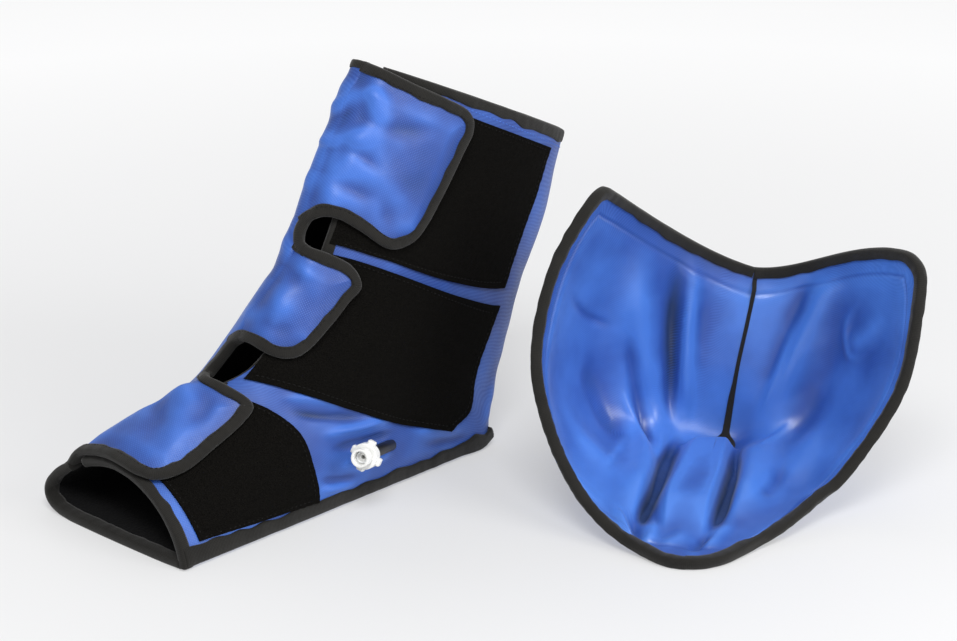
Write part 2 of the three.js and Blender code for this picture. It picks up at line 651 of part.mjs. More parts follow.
// Each half's free edge runs from the spine along the sole's front, up the side and back along the rim.
const HALF_EDGE = [
  [SPINE_GAP, 0], [0.3, 0], [0.58, 0.05], [0.8, 0.28], [0.92, 0.66], [0.98, 1.2], [1, 2], [1, 3], [1, 4],
  [1, 4.7], [0.94, 4.96], [0.8, 5], [0.45, 5], [SPINE_GAP, 5],
];
const HALF_TIP = [3, 10].map((m) => m / (HALF_EDGE.length - 1));
const HALF_COLUMNS = 7;
const HALF_ROWS = 14;
for (const [side, patch, sign] of [["left", LEFT, -1], ["right", RIGHT, 1]]) {
  const inset = freeEdge(patch, HALF_EDGE.map(([across, along]) => [sign * across, along]), sign);
  const beside = (place) => (u, v) => {
    const [across, along] = place(u, v);
    return [sign * Math.max(SPINE_GAP, sign * across), along];
  };
  const sheet = beside(insidePatch(inset, INSERT_BINDING + INSERT_ROOM, HALF_TIP));
  for (const [part, finish] of [["face", FILM], ["core", CORE], ["back", FILM]]) {
    const halfBody = layer(patch, sheet, INSERT_LAYERS[part], HALF_COLUMNS, HALF_ROWS);
    addMesh(insert, "insert_" + side + "_" + part, halfBody, finish);
  }
  const strip = beside(edgeStrip(inset, INSERT_BINDING, HALF_TIP, HALF_COLUMNS, HALF_ROWS));
  const bar = layer(patch, strip, INSERT_BAR, 2 * HALF_COLUMNS + HALF_ROWS, 1);
  addMesh(insert, "insert_" + side + "_binding", bar, TAPE);
}

// The tape over the back seam, on the inner face.
function seamTape(u, v) {
  const along = mix(SEAM_TAPE.from, SEAM_TAPE.to, v);
  const reach = SEAM_TAPE.halfWidth / slopes(SPINE, 0, along).du.length();
  return [mix(-reach, reach, u), along];
}
const seamTapeBody = layer(SPINE, seamTape, SEAM_TAPE.faces, SEAM_TAPE.columns, SEAM_TAPE.rows);
addMesh(insert, "insert_seam_tape", seamTapeBody, TAPE);

export default product;
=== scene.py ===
import math

import bpy
import numpy as np
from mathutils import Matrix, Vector


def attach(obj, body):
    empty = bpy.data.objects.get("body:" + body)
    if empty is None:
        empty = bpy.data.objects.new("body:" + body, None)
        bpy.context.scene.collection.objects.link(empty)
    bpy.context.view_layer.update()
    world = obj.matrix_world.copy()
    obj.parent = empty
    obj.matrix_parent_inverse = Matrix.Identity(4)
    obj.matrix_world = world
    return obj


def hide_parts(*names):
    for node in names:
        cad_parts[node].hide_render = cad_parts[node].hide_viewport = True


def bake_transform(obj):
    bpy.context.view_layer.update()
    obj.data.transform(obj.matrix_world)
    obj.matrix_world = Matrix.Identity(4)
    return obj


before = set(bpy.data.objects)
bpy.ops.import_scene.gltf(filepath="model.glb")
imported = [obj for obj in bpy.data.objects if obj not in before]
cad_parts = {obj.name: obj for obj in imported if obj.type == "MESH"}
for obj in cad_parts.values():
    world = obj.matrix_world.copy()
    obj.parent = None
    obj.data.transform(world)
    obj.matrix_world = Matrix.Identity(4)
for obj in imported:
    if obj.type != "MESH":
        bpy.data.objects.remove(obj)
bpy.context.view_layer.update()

# The cold compression wrap: an open-toed boot with three closure flaps and an air port, and its cold
# insert. The surfaces are worked out in millimetres in the boot's own frame: X from the toe to the heel,
# Y from the seam side to the folded side. to_frame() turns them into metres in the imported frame.

ORIGIN = np.array([213.17, -63.49, 0.0])
INSERT_PLACE = np.array([225.0, -223.0, 0.0])
INSERT_TURN = math.radians(-45)

SLOPE_STEP = 1e-3  # the change of across or along that slopes are taken over
WALK_STEPS = 4
LATHE_SIDES = 48
CLOTH_DEPTH = 0.8
WALL_PUFF = 0.7
WALL_DEPTH = 5.7
LINING_AT = -5.0
LINING_DEPTH = 0.7
BLADDER_AT = -1.5
BLADDER_DEPTH = 2.7
FIELD_RISE = 1.6
FIELD_DEPTH = 1.5
BINDING_WIDTH = 7.5
SEAM_HEIGHT = 6.4
HEEL_ROW = 5.0
FLAP_RISE = 6.6
FLAP_DEPTH = 3.3
INSERT_STACK = 6.4
INSERT_BINDING = 7.0
INSERT_PUFF = 2.4
TONGUE_RISE = 12.0
DEEPEST_FOLD = -2.0
FOLD_EASE = 0.8
PORT = np.array([178.0, -2.6, 32.5])
TUBE_DIRECTION = np.array([-0.88, -0.42, 0.24])
TUBE_LENGTH = 36.0
FLOOR_REACH = 6.0
CAMERA_TARGET = Vector((0.2344, 0.2458, 0.0))
CAMERA_DISTANCE = 1.85
CAMERA_AZIMUTH = math.radians(-45)
CAMERA_ELEVATION = math.radians(21)


# ---------------------------------------------------------------- small numeric tools

def smooth(x, low, high):
    k = np.clip((x - low) / (high - low), 0, 1)
    return k * k * (3 - 2 * k)


def mix(a, b, k):
    return a + (b - a) * k


def unit(vectors):
    return vectors / (np.linalg.norm(vectors, axis=-1, keepdims=True) + 1e-12)


def to_frame(points):
    return (points - ORIGIN) / 1000


def spline(points, k, open_ends=True):
    """The uniform Catmull-Rom curve through points at k, which counts points from 0."""
    p = np.asarray(points, float)
    k = np.clip(np.asarray(k, float), 0, len(p) - 1)
    i = np.minimum(k.astype(int), len(p) - 2)
    f = (k - i)[..., None]
    before = 2 * p[0] - p[1] if open_ends else p[0]
    after = 2 * p[-1] - p[-2] if open_ends else p[-1]
    q = np.vstack([before, p, after])
    a, b, c, d = q[i], q[i + 1], q[i + 2], q[i + 3]
    return 0.5 * (2 * b + (c - a) * f + (2 * a - 5 * b + 4 * c - d) * f**2 + (3 * b - a - 3 * c + d) * f**3)


def trace(points):
    """A curve of (across, along) through a few points, from 0 to 1."""
    return lambda u: spline(points, np.clip(u, 0, 1) * (len(points) - 1), open_ends=False)


def bezier(a, b, c, d, k):
    k = k[..., None]
    return (1 - k) ** 3 * a + 3 * (1 - k) ** 2 * k * b + 3 * (1 - k) * k * k * c + k**3 * d


def ripple(points, wavelength, seed):
    """Smooth random undulation, about -1 to 1, as a sum of bent plane waves."""
    rng = np.random.default_rng(seed)
    waves = 28
    bend = np.sin(points[..., [1, 2, 0]] * (2.1 / wavelength) + rng.uniform(0, 6, 3)) * wavelength * 0.22
    directions = unit(rng.normal(size=(waves, 3)))
    lengths = wavelength * rng.uniform(0.6, 1.7, waves)
    phases = rng.uniform(0, 2 * math.pi, waves)
    value = np.zeros(points.shape[:-1])
    for direction, length, phase in zip(directions, lengths, phases):
        value += np.cos((points + bend) @ direction * (2 * math.pi / length) + phase)
    return value * (1.5 / math.sqrt(waves))


# ---------------------------------------------------------------- surfaces

# Stations of the boot's wall: ridge, back, and the shoulders and feet that shape each side.
STATIONS = [
    ((2, 75, 50), (0, 0, 0), 50, (0, -1, 18), (53, -2), (-20, 222, -22)),
    ((46, 72, 71), (58, 0, 0), 46, (0, -5, 28), (54, -5), (0, 206, -38)),
    ((80, 64, 93), (120, 0, 0), 46, (0, -9, 38), (52, -4), (0, 182, -38)),
    ((100, 55, 120), (190, 0, 0), 45, (0, -11, 46), (50, -2), (0, 160, -38)),
    ((119, 50, 148), (243, 0, 0), 44, (0, -12, 42), (50, -2), (0, 136, -36)),
    ((133, 48, 168), (272, 0, 1), 44, (0, -12, 29), (48, -1), (0, 96, -20)),
    ((144, 48, 188), (285, 9, 27), 46, (0, -20, 9), (48, 0), (0, 57, -5)),
    ((155, 48, 211), (301, 18, 55), 47, (0, -30, 3), (48, 0), (0, 42, -2)),
    ((169, 48, 236), (329, 26, 104), 48, (0, -34, 1), (47, 0), (0, 37, 0)),
    ((186, 48, 262), (356, 28, 157), 48, (0, -35, 0), (46, 0), (0, 36, 0)),
    ((202, 48, 288), (375, 28, 209.5), 49, (0, -36, 0), (45, 0), (0, 36, 0)),
]
LAST_ROW = len(STATIONS) - 1
RIDGE = np.array([s[0] for s in STATIONS], float)
BACK = np.array([s[1] for s in STATIONS], float)
NEAR_TOP = RIDGE + np.array([(0, -s[2], 0) for s in STATIONS])
NEAR_LOW = BACK + np.array([s[3] for s in STATIONS])
FAR_TOP = RIDGE + np.array([(0, *s[4]) for s in STATIONS])
FAR_LOW = BACK + np.array([s[5] for s in STATIONS])
FLOOR_EASE = 5.0


def boot_point(across, along):
    """A point of the wall: 0 to 1 is the near side from ridge to back line, 1 to 2 the far side back."""
    across, along = np.broadcast_arrays(np.asarray(across, float), np.asarray(along, float))
    turn = np.mod(across, 2)
    ridge, back, near_top, near_low, far_top, far_low = (
        spline(p, along) for p in (RIDGE, BACK, NEAR_TOP, NEAR_LOW, FAR_TOP, FAR_LOW)
    )
    near = bezier(ridge, near_top, near_low, back, np.clip(turn, 0, 1))
    far = bezier(back, far_low, far_top, ridge, np.clip(turn - 1, 0, 1))
    point = np.where((turn <= 1)[..., None], near, far)
    z = point[..., 2]
    eased = np.where(z < -FLOOR_EASE, 0, (z + FLOOR_EASE) ** 2 / (4 * FLOOR_EASE))
    point[..., 2] = np.where(z > FLOOR_EASE, z, eased)
    return point


# Ribs of the insert: the spine, then three control points to the left edge and three to the right.
RIBS = np.array([
    ((2, 0, 6.4), (-8, 1, 6.4), (-22, 8, 6.4), (-30, 16, 6.4), (18, -1, 6.4), (38, 6, 6.4), (52, 30, 6.4)),
    ((14, 60, 6.4), (-25, 62, 6.4), (-58, 58, 11), (-64, 54, 38), (50, 56, 6.4), (80, 58, 6), (92, 66, 24)),
    (
        (28, 120, 6.4), (-20, 122, 6.4), (-76, 112, 24), (-83, 75, 76),
        (70, 118, 6.4), (107, 108, 11), (112, 76, 35),
    ),
    (
        (43, 182, 9), (-10, 186, 17), (-83, 160, 60), (-89, 90, 116),
        (85, 178, 13), (140, 150, 44), (147, 92, 86),
    ),
    (
        (51, 190, 66), (5, 202, 75), (-70, 172, 120), (-77, 105, 168),
        (88, 194, 70), (148, 166, 106), (157, 100, 138),
    ),
    (
        (63, 196, 134), (22, 196, 146), (-34, 155, 200), (-47, 120, 219),
        (98, 200, 129), (130, 154, 176), (161, 112, 171),
    ),
], float)
LAST_RIB = len(RIBS) - 1


def insert_point(across, along):
    """A point of the insert's inner face in the boot's frame: -1 left edge, 0 spine, 1 right edge."""
    across, along = np.broadcast_arrays(np.asarray(across, float), np.asarray(along, float))
    spine = spline(RIBS[:, 0], along)
    left = [spline(RIBS[:, i], along) for i in (1, 2, 3)]
    right = [spline(RIBS[:, i], along) for i in (4, 5, 6)]
    side = (across < 0)[..., None]
    a, b, c = (np.where(side, one, other) for one, other in zip(left, right))
    local = bezier(spine, a, b, c, np.minimum(1, np.abs(across)))
    cos, sin = math.cos(INSERT_TURN), math.sin(INSERT_TURN)
    x = cos * local[..., 0] - sin * local[..., 1]
    y = sin * local[..., 0] + cos * local[..., 1]
    return np.stack([x, y, local[..., 2]], -1) + INSERT_PLACE


class Patch:
    """A stretch of a surface, the range its slopes are taken in, and the height it keeps off the floor."""

    def __init__(self, point, low, high, rows, lift):
        self.point, self.low, self.high, self.rows, self.lift = point, low, high, rows, lift

    def slopes(self, across, along):
        step = SLOPE_STEP
        a = np.clip(across, self.low + step, self.high - step)
        b = np.clip(along, step, self.rows - step)
        du = (self.point(a + step, b) - self.point(a - step, b)) / (2 * step)
        dv = (self.point(a, b + step) - self.point(a, b - step)) / (2 * step)
        return du, dv, unit(np.cross(du, dv))

    def at(self, across, along, height):
        normal = self.slopes(across, along)[2]
        place = self.point(across, along) + normal * np.asarray(height)[..., None]
        floor = self.lift + height if self.lift else 0
        place[..., 2] = np.maximum(place[..., 2], floor)
        return place

    def walk(self, across, along, direction, distance):
        """Where a walk of so many millimetres within the surface ends."""
        for _ in range(WALK_STEPS):
            du, dv, _ = self.slopes(across, along)
            aa, ab, bb = (du * du).sum(-1), (du * dv).sum(-1), (dv * dv).sum(-1)
            ra, rb = (direction * du).sum(-1), (direction * dv).sum(-1)
            det = aa * bb - ab * ab
            part = distance / WALK_STEPS / det
            across = across + part * (ra * bb - rb * ab)
            along = along + part * (rb * aa - ra * ab)
        return across, along


NEAR = Patch(boot_point, -0.6, 1, LAST_ROW, 0)
ROUND = Patch(boot_point, -0.6, 2.2, LAST_ROW, 0)
LEFT = Patch(insert_point, -1, 0, LAST_RIB, INSERT_STACK)
RIGHT = Patch(insert_point, 0, 1, LAST_RIB, INSERT_STACK)
SPINE = Patch(insert_point, -1, 1, LAST_RIB, INSERT_STACK)

NEAR_EDGE = [
    (-0.18, 0), (-0.1, 0.9), (0.06, 1.8), (0.15, 2.6), (0.15, 4), (0.15, 6), (0.15, 8), (0.15, 10),
]
FLAP_ROOT = [
    (-0.3, 0), (-0.17, 1), (-0.09, 2.1), (-0.03, 3.2), (0.01, 4.5), (0.03, 5.7), (0.03, 7.8), (0.03, 10),
]


def across_at(points, along):
    """The across value of a trace at some rows."""
    line = trace(points)(np.linspace(0, 1, 400))
    return np.interp(along, line[:, 1], line[:, 0])


def level(height):
    """The same height all over."""
    return lambda across, *place: height + 0.0 * across


def flap_height(across, along):
    root = across_at(FLAP_ROOT, along)
    return FLAP_RISE * smooth(across, root, across_at(NEAR_EDGE, along) - 0.01)


# ---------------------------------------------------------------- folds and puckers

def fold(points, path, width, height, taper=0.35):
    """A fold along a path: a ridge if height is positive, a crease if negative, dying out at its ends."""
    path = np.asarray(path, float)
    k = np.linspace(0, len(path) - 1, 70)
    line = spline(path, k)
    share = k / k[-1]
    strength = smooth(share, 0, taper) * (1 - smooth(share, 1 - taper, 1))
    reach = 3 * width
    close = ((points > line.min(0) - reach) & (points < line.max(0) + reach)).all(-1)
    nearby = points[close]
    best = np.zeros(len(nearby))
    for centre, power in zip(line, strength):
        distance = ((nearby - centre) ** 2).sum(-1)
        best = np.maximum(best, power * np.exp(-distance / width**2))
    total = np.zeros(points.shape[:-1])
    total[close] = height * best
    return total


def folds_on(patch, points, table):
    """The sum of folds whose paths are given as (across, along) pairs."""
    total = np.zeros(points.shape[:-1])
    for path, width, height in table:
        pairs = np.array(path, float)
        total += fold(points, patch.point(pairs[:, 0], pairs[:, 1]), width, height)
    return total


WALL_FOLDS = [
    # up the ridge of the leg, and across it at each bend
    ([(-0.1, 8.9), (-0.04, 8.9), (0.03, 9.1), (0.1, 9.5)], 5, 2.0),
    ([(-0.1, 8.6), (-0.02, 8.55), (0.06, 8.75), (0.12, 9.1)], 4.5, -1.8),
    ([(-0.12, 8.1), (-0.03, 8.05), (0.06, 8.2), (0.12, 8.5)], 5, 2.4),
    ([(-0.1, 8.0), (-0.02, 7.8), (0.06, 7.65)], 6, -2.4),
    ([(-0.12, 7.3), (0.0, 7.2), (0.1, 7.3)], 8, 1.8),
    ([(-0.14, 6.6), (-0.02, 6.4), (0.05, 6.2)], 6, -1.9),
    ([(-0.12, 5.6), (-0.02, 5.3), (0.07, 5.0)], 7, 1.6),
    ([(-0.14, 4.7), (0.0, 4.5), (0.1, 4.4)], 6, -1.8),
    ([(-0.1, 3.5), (0.03, 3.4), (0.14, 3.5)], 7, 1.5),
    # below the middle field and round the port
    ([(0.34, 2.3), (0.44, 2.62), (0.56, 2.95)], 3.2, 2.6),
    ([(0.4, 2.2), (0.52, 2.5), (0.63, 3.0)], 3.2, -2.4),
    ([(0.58, 2.3), (0.64, 2.75), (0.68, 3.3)], 3.4, 3.2),
    ([(0.66, 2.25), (0.71, 2.7), (0.74, 3.2)], 3.0, -2.6),
    ([(0.76, 2.25), (0.8, 2.6), (0.82, 3.0)], 3.6, 2.8),
    ([(0.68, 3.2), (0.73, 3.45), (0.79, 3.65)], 3.2, -2.0),
    ([(0.76, 3.35), (0.8, 3.8), (0.84, 4.3)], 4.5, 2.2),
    ([(0.84, 3.3), (0.88, 3.9), (0.9, 4.5)], 4.0, -1.9),
    ([(0.84, 1.95), (0.87, 2.15), (0.9, 2.4)], 3.2, 2.4),
    ([(0.78, 2.0), (0.83, 2.2), (0.86, 2.5)], 3.0, -2.0),
    # the heel and the back of the leg
    ([(0.88, 5.2), (0.9, 5.9), (0.92, 6.6)], 7, 1.6),
    ([(0.93, 5.0), (0.97, 5.6), (1.02, 6.1)], 6, -1.4),
    ([(1.1, 5.2), (1.2, 5.6), (1.32, 5.9)], 9, 2.4),
    ([(1.12, 4.7), (1.26, 5.0), (1.42, 5.2)], 8, -2.0),
    ([(1.2, 6.3), (1.34, 6.4), (1.5, 6.4)], 10, 2.2),
    ([(1.45, 5.2), (1.62, 5.0), (1.8, 4.8)], 11, 2.6),
    ([(1.4, 4.6), (1.6, 4.3), (1.78, 4.1)], 9, -2.2),
    ([(1.5, 3.6), (1.66, 3.4), (1.84, 3.3)], 10, 2.2),
]


# The tape round the inner end of each notch between two flaps.
NOTCHES = {
    "upper": [(0.1, 6.42), (0.065, 6.2), (0.052, 5.98), (0.052, 5.78), (0.07, 5.59), (0.11, 5.55)],
    "lower": [
        (0.02, 2.84), (-0.024, 2.74), (-0.036, 2.55), (-0.04, 2.33),
        (-0.042, 2.14), (-0.026, 2.03), (0.02, 1.93),
    ],
}


def wall_relief(across, along, points):
    """How far the boot's outer cloth stands off its plain surface."""
    soft = 1.1 * ripple(points, 85, 3) + 0.12 * ripple(points, 26, 4)
    turn = np.mod(across, 2)
    on_far_side = smooth(turn, 1.02, 1.2) * (1 - smooth(turn, 1.7, 1.95))
    soft = soft * mix(0.6, 1.5, on_far_side)
    sole = smooth(points[..., 2], 1, 16)
    relief = WALL_PUFF + soft + folds_on(ROUND, points, WALL_FOLDS)
    rims = smooth(along, 0.2, 0.9) * (1 - smooth(along, 9.25, 9.7))
    seam = 1 - np.exp(-(((turn - 1) / 0.115) ** 4)) * (1 - smooth(along, HEEL_ROW, HEEL_ROW + 0.6))
    notches = np.zeros(points.shape[:-1])
    for pairs in NOTCHES.values():
        pairs = np.array(pairs)
        notches = np.maximum(notches, fold(points, boot_point(pairs[:, 0], pairs[:, 1]), 9, 1.0, 0.02))
    return np.maximum(relief * rims * sole * seam * (1 - notches), -WALL_PUFF)


# ---------------------------------------------------------------- meshes

def new_object(name, mesh):
    obj = bpy.data.objects.new(name, mesh)
    bpy.context.scene.collection.objects.link(obj)
    return obj


def make_object(name, points, quads, materials, face_slots=None, weave=None):
    """A mesh object from millimetre points and four-sided faces, its faces turned outwards if closed."""
    quads = np.asarray(quads, np.int32)
    a, b, c, d = (points[quads[:, i]] for i in range(4))
    volume = (a * np.cross(b, c)).sum() + (a * np.cross(c, d)).sum()
    if volume < 0:
        quads = quads[:, ::-1]
    mesh = bpy.data.meshes.new(name)
    mesh.vertices.add(len(points))
    mesh.vertices.foreach_set("co", to_frame(points).astype(np.float32).ravel())
    mesh.loops.add(quads.size)
    mesh.loops.foreach_set("vertex_index", np.ascontiguousarray(quads).ravel())
    mesh.polygons.add(len(quads))
    mesh.polygons.foreach_set("loop_start", np.arange(0, quads.size, 4, dtype=np.int32))
    if face_slots is not None:
        mesh.polygons.foreach_set("material_index", np.asarray(face_slots, np.int32))
    mesh.polygons.foreach_set("use_smooth", np.ones(len(quads), bool))
    for material in materials:
        mesh.materials.append(material)
    if weave is not None:
        layer = mesh.attributes.new("weave", "FLOAT_VECTOR", "POINT")
        layer.data.foreach_set("vector", np.asarray(weave, np.float32).ravel())
    mesh.update(calc_edges=True)
    mesh.validate()
    return new_object(name, mesh)


def grid_quads(rows, columns, first=0):
    wide = columns + 1
    i, j = np.meshgrid(np.arange(columns), np.arange(rows))
    corner = first + (j * wide + i).ravel()
    return np.stack([corner, corner + 1, corner + wide + 1, corner + wide], 1)


def tube_quads(rings, sides, first=0, closed=False):
    """The faces of a tube through rings of points, its ends capped by strips unless it is closed."""
    i, j = np.meshgrid(np.arange(sides), np.arange(rings if closed else rings - 1))
    total = rings * sides
    here = (j * sides + i).ravel()
    beside = (j * sides + (i + 1) % sides).ravel()
    quads = [np.stack([here, beside, (beside + sides) % total, (here + sides) % total], 1)]
    if not closed:
        half = np.arange(sides // 2 - 1)
        cap = np.stack([half, half + 1, sides - 2 - half, sides - 1 - half], 1)
        quads += [cap[:, ::-1], cap + total - sides]
    return first + np.concatenate(quads)


def lengths_along(path):
    return np.concatenate([[0], np.cumsum(np.linalg.norm(np.diff(path, axis=0), axis=-1))])


def lengths_over(grid):
    """Arc lengths over a grid of points, across and along, for a cloth's weave."""
    across = np.zeros(grid.shape[:2])
    along = np.zeros(grid.shape[:2])
    across[:, 1:] = np.cumsum(np.linalg.norm(np.diff(grid, axis=1), axis=-1), axis=1)
    along[1:, :] = np.cumsum(np.linalg.norm(np.diff(grid, axis=0), axis=-1), axis=0)
    middle = across[:, across.shape[1] // 2][:, None]
    return np.stack([across - middle, along], -1)


def from_edges(grid):
    """How far each point of a grid is from its last column and its first and last rows, in millimetres."""
    aside = np.linalg.norm(np.diff(grid, axis=1), axis=-1)
    ahead = np.linalg.norm(np.diff(grid, axis=0), axis=-1)
    right, first, last = (np.zeros(grid.shape[:2]) for _ in range(3))
    right[:, :-1] = np.cumsum(aside[:, ::-1], axis=1)[:, ::-1]
    first[1:] = np.cumsum(ahead, axis=0)
    last[:-1] = np.cumsum(ahead[::-1], axis=0)[::-1]
    return np.minimum(right, np.minimum(first, last))


def painted_fold_shade(height, span=1.3):
    """Painted shade and highlight: below 0 in a crease, where the cloth is painted darker, and above 0 on a
    ridge, where it is painted lighter, by how far a height differs from its surroundings.
    """
    blurred = height
    for _ in range(120):
        padded = np.pad(blurred, 1, mode="edge")
        blurred = (padded[:-2, 1:-1] + padded[2:, 1:-1] + padded[1:-1, :-2] + padded[1:-1, 2:]) / 4
    return np.clip((height - blurred) / span, -2, 1)


def sheet_object(name, outer, inner, materials, inner_slot, shade):
    """A closed sheet between two grids of points."""
    rows, columns = outer.shape[0] - 1, outer.shape[1] - 1
    count = outer.shape[0] * outer.shape[1]
    top = grid_quads(rows, columns)
    bottom = grid_quads(rows, columns, count)[:, ::-1]
    wide = columns + 1
    loop = np.concatenate([
        np.arange(columns),
        np.arange(rows) * wide + columns,
        rows * wide + np.arange(columns, 0, -1),
        np.arange(rows, 0, -1) * wide,
    ])
    following = np.roll(loop, -1)
    side = np.stack([following, loop, loop + count, following + count], 1)
    points = np.concatenate([outer.reshape(-1, 3), inner.reshape(-1, 3)])
    # The weave's third value is the painted fold shade, which the cloth material darkens creases and
    # lightens ridges by.
    weave = np.concatenate([lengths_over(outer), shade[..., None]], -1).reshape(-1, 3)
    slots = np.concatenate([np.zeros(len(top)), np.full(len(bottom), inner_slot), np.zeros(len(side))])
    quads = np.concatenate([top, bottom, side])
    return make_object(name, points, quads, materials, slots, np.concatenate([weave, weave]))


def laid_sheet(name, patch, place, outer_height, thickness, size, materials, inner_slot=0):
    """A sheet laid over a patch: place(u, v) says where, outer_height how far its outer face stands off."""
    columns, rows = size
    u, v = np.meshgrid(np.linspace(0, 1, columns + 1), np.linspace(0, 1, rows + 1))
    across, along = place(u, v)
    bare = patch.point(across, along)
    height = outer_height(across, along, bare, from_edges(bare))
    outer = patch.at(across, along, height)
    inner = patch.at(across, along, height - thickness)
    return sheet_object(name, outer, inner, materials, inner_slot, painted_fold_shade(height))


def sweep_object(name, rings, material, closed=False):
    """A tape or tube through rings of points."""
    count, sides = rings.shape[:2]
    run = lengths_along(rings.mean(1))
    girth = np.linalg.norm(np.roll(rings, -1, axis=1) - rings, axis=-1)
    round_it = np.cumsum(girth, axis=1) - girth
    weave = np.stack([np.repeat(run[:, None], sides, 1), round_it, 0 * round_it], -1).reshape(-1, 3)
    quads = tube_quads(count, sides, closed=closed)
    return make_object(name, rings.reshape(-1, 3), quads, [material], None, weave)


# A tape folded round an edge: how far in each point of its section lies, on which face (1 outer,
# 0 inner), and how far it stands proud of that face.
TAPE_FACE = [(1.0, 0.0), (0.985, 0.75), (0.8, 1.1), (0.5, 1.25), (0.22, 1.1), (0.07, 0.55)]
TAPE_SECTION = [
    *((share, 1, proud) for share, proud in TAPE_FACE),
    (0.0, 0.78, 0.0), (-0.05, 0.5, 0.0), (0.0, 0.22, 0.0),
    *((share, 0, -proud) for share, proud in reversed(TAPE_FACE)),
    (0.9, 0.5, 0.0),
]


def tape(name, patch, rim, outer, inner, width, steps, seed, tab=0):
    """A folded edge tape. rim(s, distance) gives the place so far in from the edge; outer and inner give
    the heights of the faces that it wraps; tab is how far its end sticks out."""
    s = np.linspace(0, 1, steps + 1)
    edge_across, edge_along = rim(s, 0.0)
    edge = patch.point(edge_across, edge_along)
    wide = width * (1 + 0.05 * ripple(edge, 18, seed))
    rings = []
    one_in = rim(s, 1.0)
    along_edge = unit(edge[-1] - edge[-4])
    inwards = unit(patch.point(*one_in) - edge)
    for share, side, proud in TAPE_SECTION:
        distance = np.maximum(share, 0) * wide
        across, along = rim(s, distance)
        low, high = inner(across, along), outer(across, along)
        height = mix(low, high, side) + proud * (1 + 0.1 * ripple(edge, 9, seed + 5))
        place = patch.at(across, along, height)
        if share < 0:
            place = place + inwards * (share * wide)[:, None]
        if tab:
            ends = place[-1] + along_edge * np.linspace(0, tab, 8)[1:, None]
            place = np.concatenate([place, ends])
        rings.append(place)
    return sweep_object(name, np.stack(rings, 1), TAPE)


def spokes(axis, angle):
    """The directions outwards from an axis, at angles round it."""
    side = unit(np.cross(axis, [0, 0, 1.0]))
    angle = np.asarray(angle)[..., None]
    return np.cos(angle) * side + np.sin(angle) * np.cross(side, axis)


def turns(count):
    """So many equal steps round a circle."""
    return np.arange(count) * 2 * math.pi / count


def lathe_object(name, profile, origin, axis, material):
    """A turned piece: a closed profile of (radius, distance along the axis), round the axis."""
    spoke = spokes(axis, turns(LATHE_SIDES))
    rings = origin + profile[None, :, 1, None] * axis + spoke[:, None] * profile[None, :, 0, None]
    return sweep_object(name, rings, material, closed=True)


def rounded(profile, radius):
    """The same closed profile with its corners cut by short arcs."""
    p = np.asarray(profile, float)
    out = []
    for i in range(len(p)):
        here, before, after = p[i], p[i - 1], p[(i + 1) % len(p)]
        reach = min(radius, 0.4 * np.linalg.norm(before - here), 0.4 * np.linalg.norm(after - here))
        a = here + unit(before - here) * reach
        b = here + unit(after - here) * reach
        for k in (0.0, 0.33, 0.67, 1.0):
            out.append((1 - k) ** 2 * a + 2 * (1 - k) * k * here + k * k * b)
    return np.array(out)


# ---------------------------------------------------------------- materials

def set_inputs(made, inputs):
    """Gives a node's inputs their values, or links them where the value is another node's output."""
    for key, value in inputs.items():
        if isinstance(value, bpy.types.NodeSocket):
            made.id_data.links.new(value, made.inputs[key])
        else:
            made.inputs[key].default_value = value


def node(tree, kind, inputs, **settings):
    made = tree.nodes.new(kind)
    for key, value in settings.items():
        setattr(made, key, value)
    set_inputs(made, inputs)
    return made


def new_look(name):
    material = bpy.data.materials.new(name)
    material.use_nodes = True
    return material, material.node_tree, material.node_tree.nodes["Principled BSDF"]


def weave_of(tree):
    """Millimetres across and along the cloth, and its painted fold shade."""
    return node(tree, "ShaderNodeAttribute", {}, attribute_name="weave").outputs["Vector"]


def place_of(tree):
    return node(tree, "ShaderNodeTexCoord", {}).outputs["Object"]


def bands(tree, vector, turn, pitch, distort):
    """Soft lines at an angle, so many millimetres apart in the weave's own coordinates."""
    turned = node(tree, "ShaderNodeMapping", {"Vector": vector, "Rotation": (0, 0, turn)})
    scale = 2 * math.pi / (20 * pitch)
    inputs = {"Scale": scale, "Distortion": distort, "Detail": 1.0, "Detail Scale": 2.0}
    inputs["Vector"] = turned.outputs["Vector"]
    kind = {"wave_type": "BANDS", "bands_direction": "X", "wave_profile": "SIN"}
    return node(tree, "ShaderNodeTexWave", inputs, **kind).outputs["Fac"]


def math_node(tree, operation, a, b):
    return node(tree, "ShaderNodeMath", {0: a, 1: b}, operation=operation).outputs[0]


def noise(tree, vector, scale, detail=3.0, roughness=0.55):
    inputs = {"Vector": vector, "Scale": scale, "Detail": detail, "Roughness": roughness}
    return node(tree, "ShaderNodeTexNoise", inputs).outputs["Fac"]


def map_range(tree, value, start, end, low, high):
    inputs = {"Value": value, "From Min": start, "From Max": end, "To Min": low, "To Max": high}
    return node(tree, "ShaderNodeMapRange", inputs).outputs["Result"]


def ramp(tree, value, stops):
    made = node(tree, "ShaderNodeValToRGB", {"Fac": value})
    elements = made.color_ramp.elements
    while len(elements) < len(stops):
        elements.new(0.5)
    for element, (place, colour) in zip(elements, stops):
        element.position = place
        element.color = (*colour, 1)
    return made.outputs["Color"]


def bump(tree, height, strength, distance, normal=None):
    inputs = {"Height": height, "Strength": strength, "Distance": distance}
    if normal is not None:
        inputs["Normal"] = normal
    return node(tree, "ShaderNodeBump", inputs).outputs["Normal"]


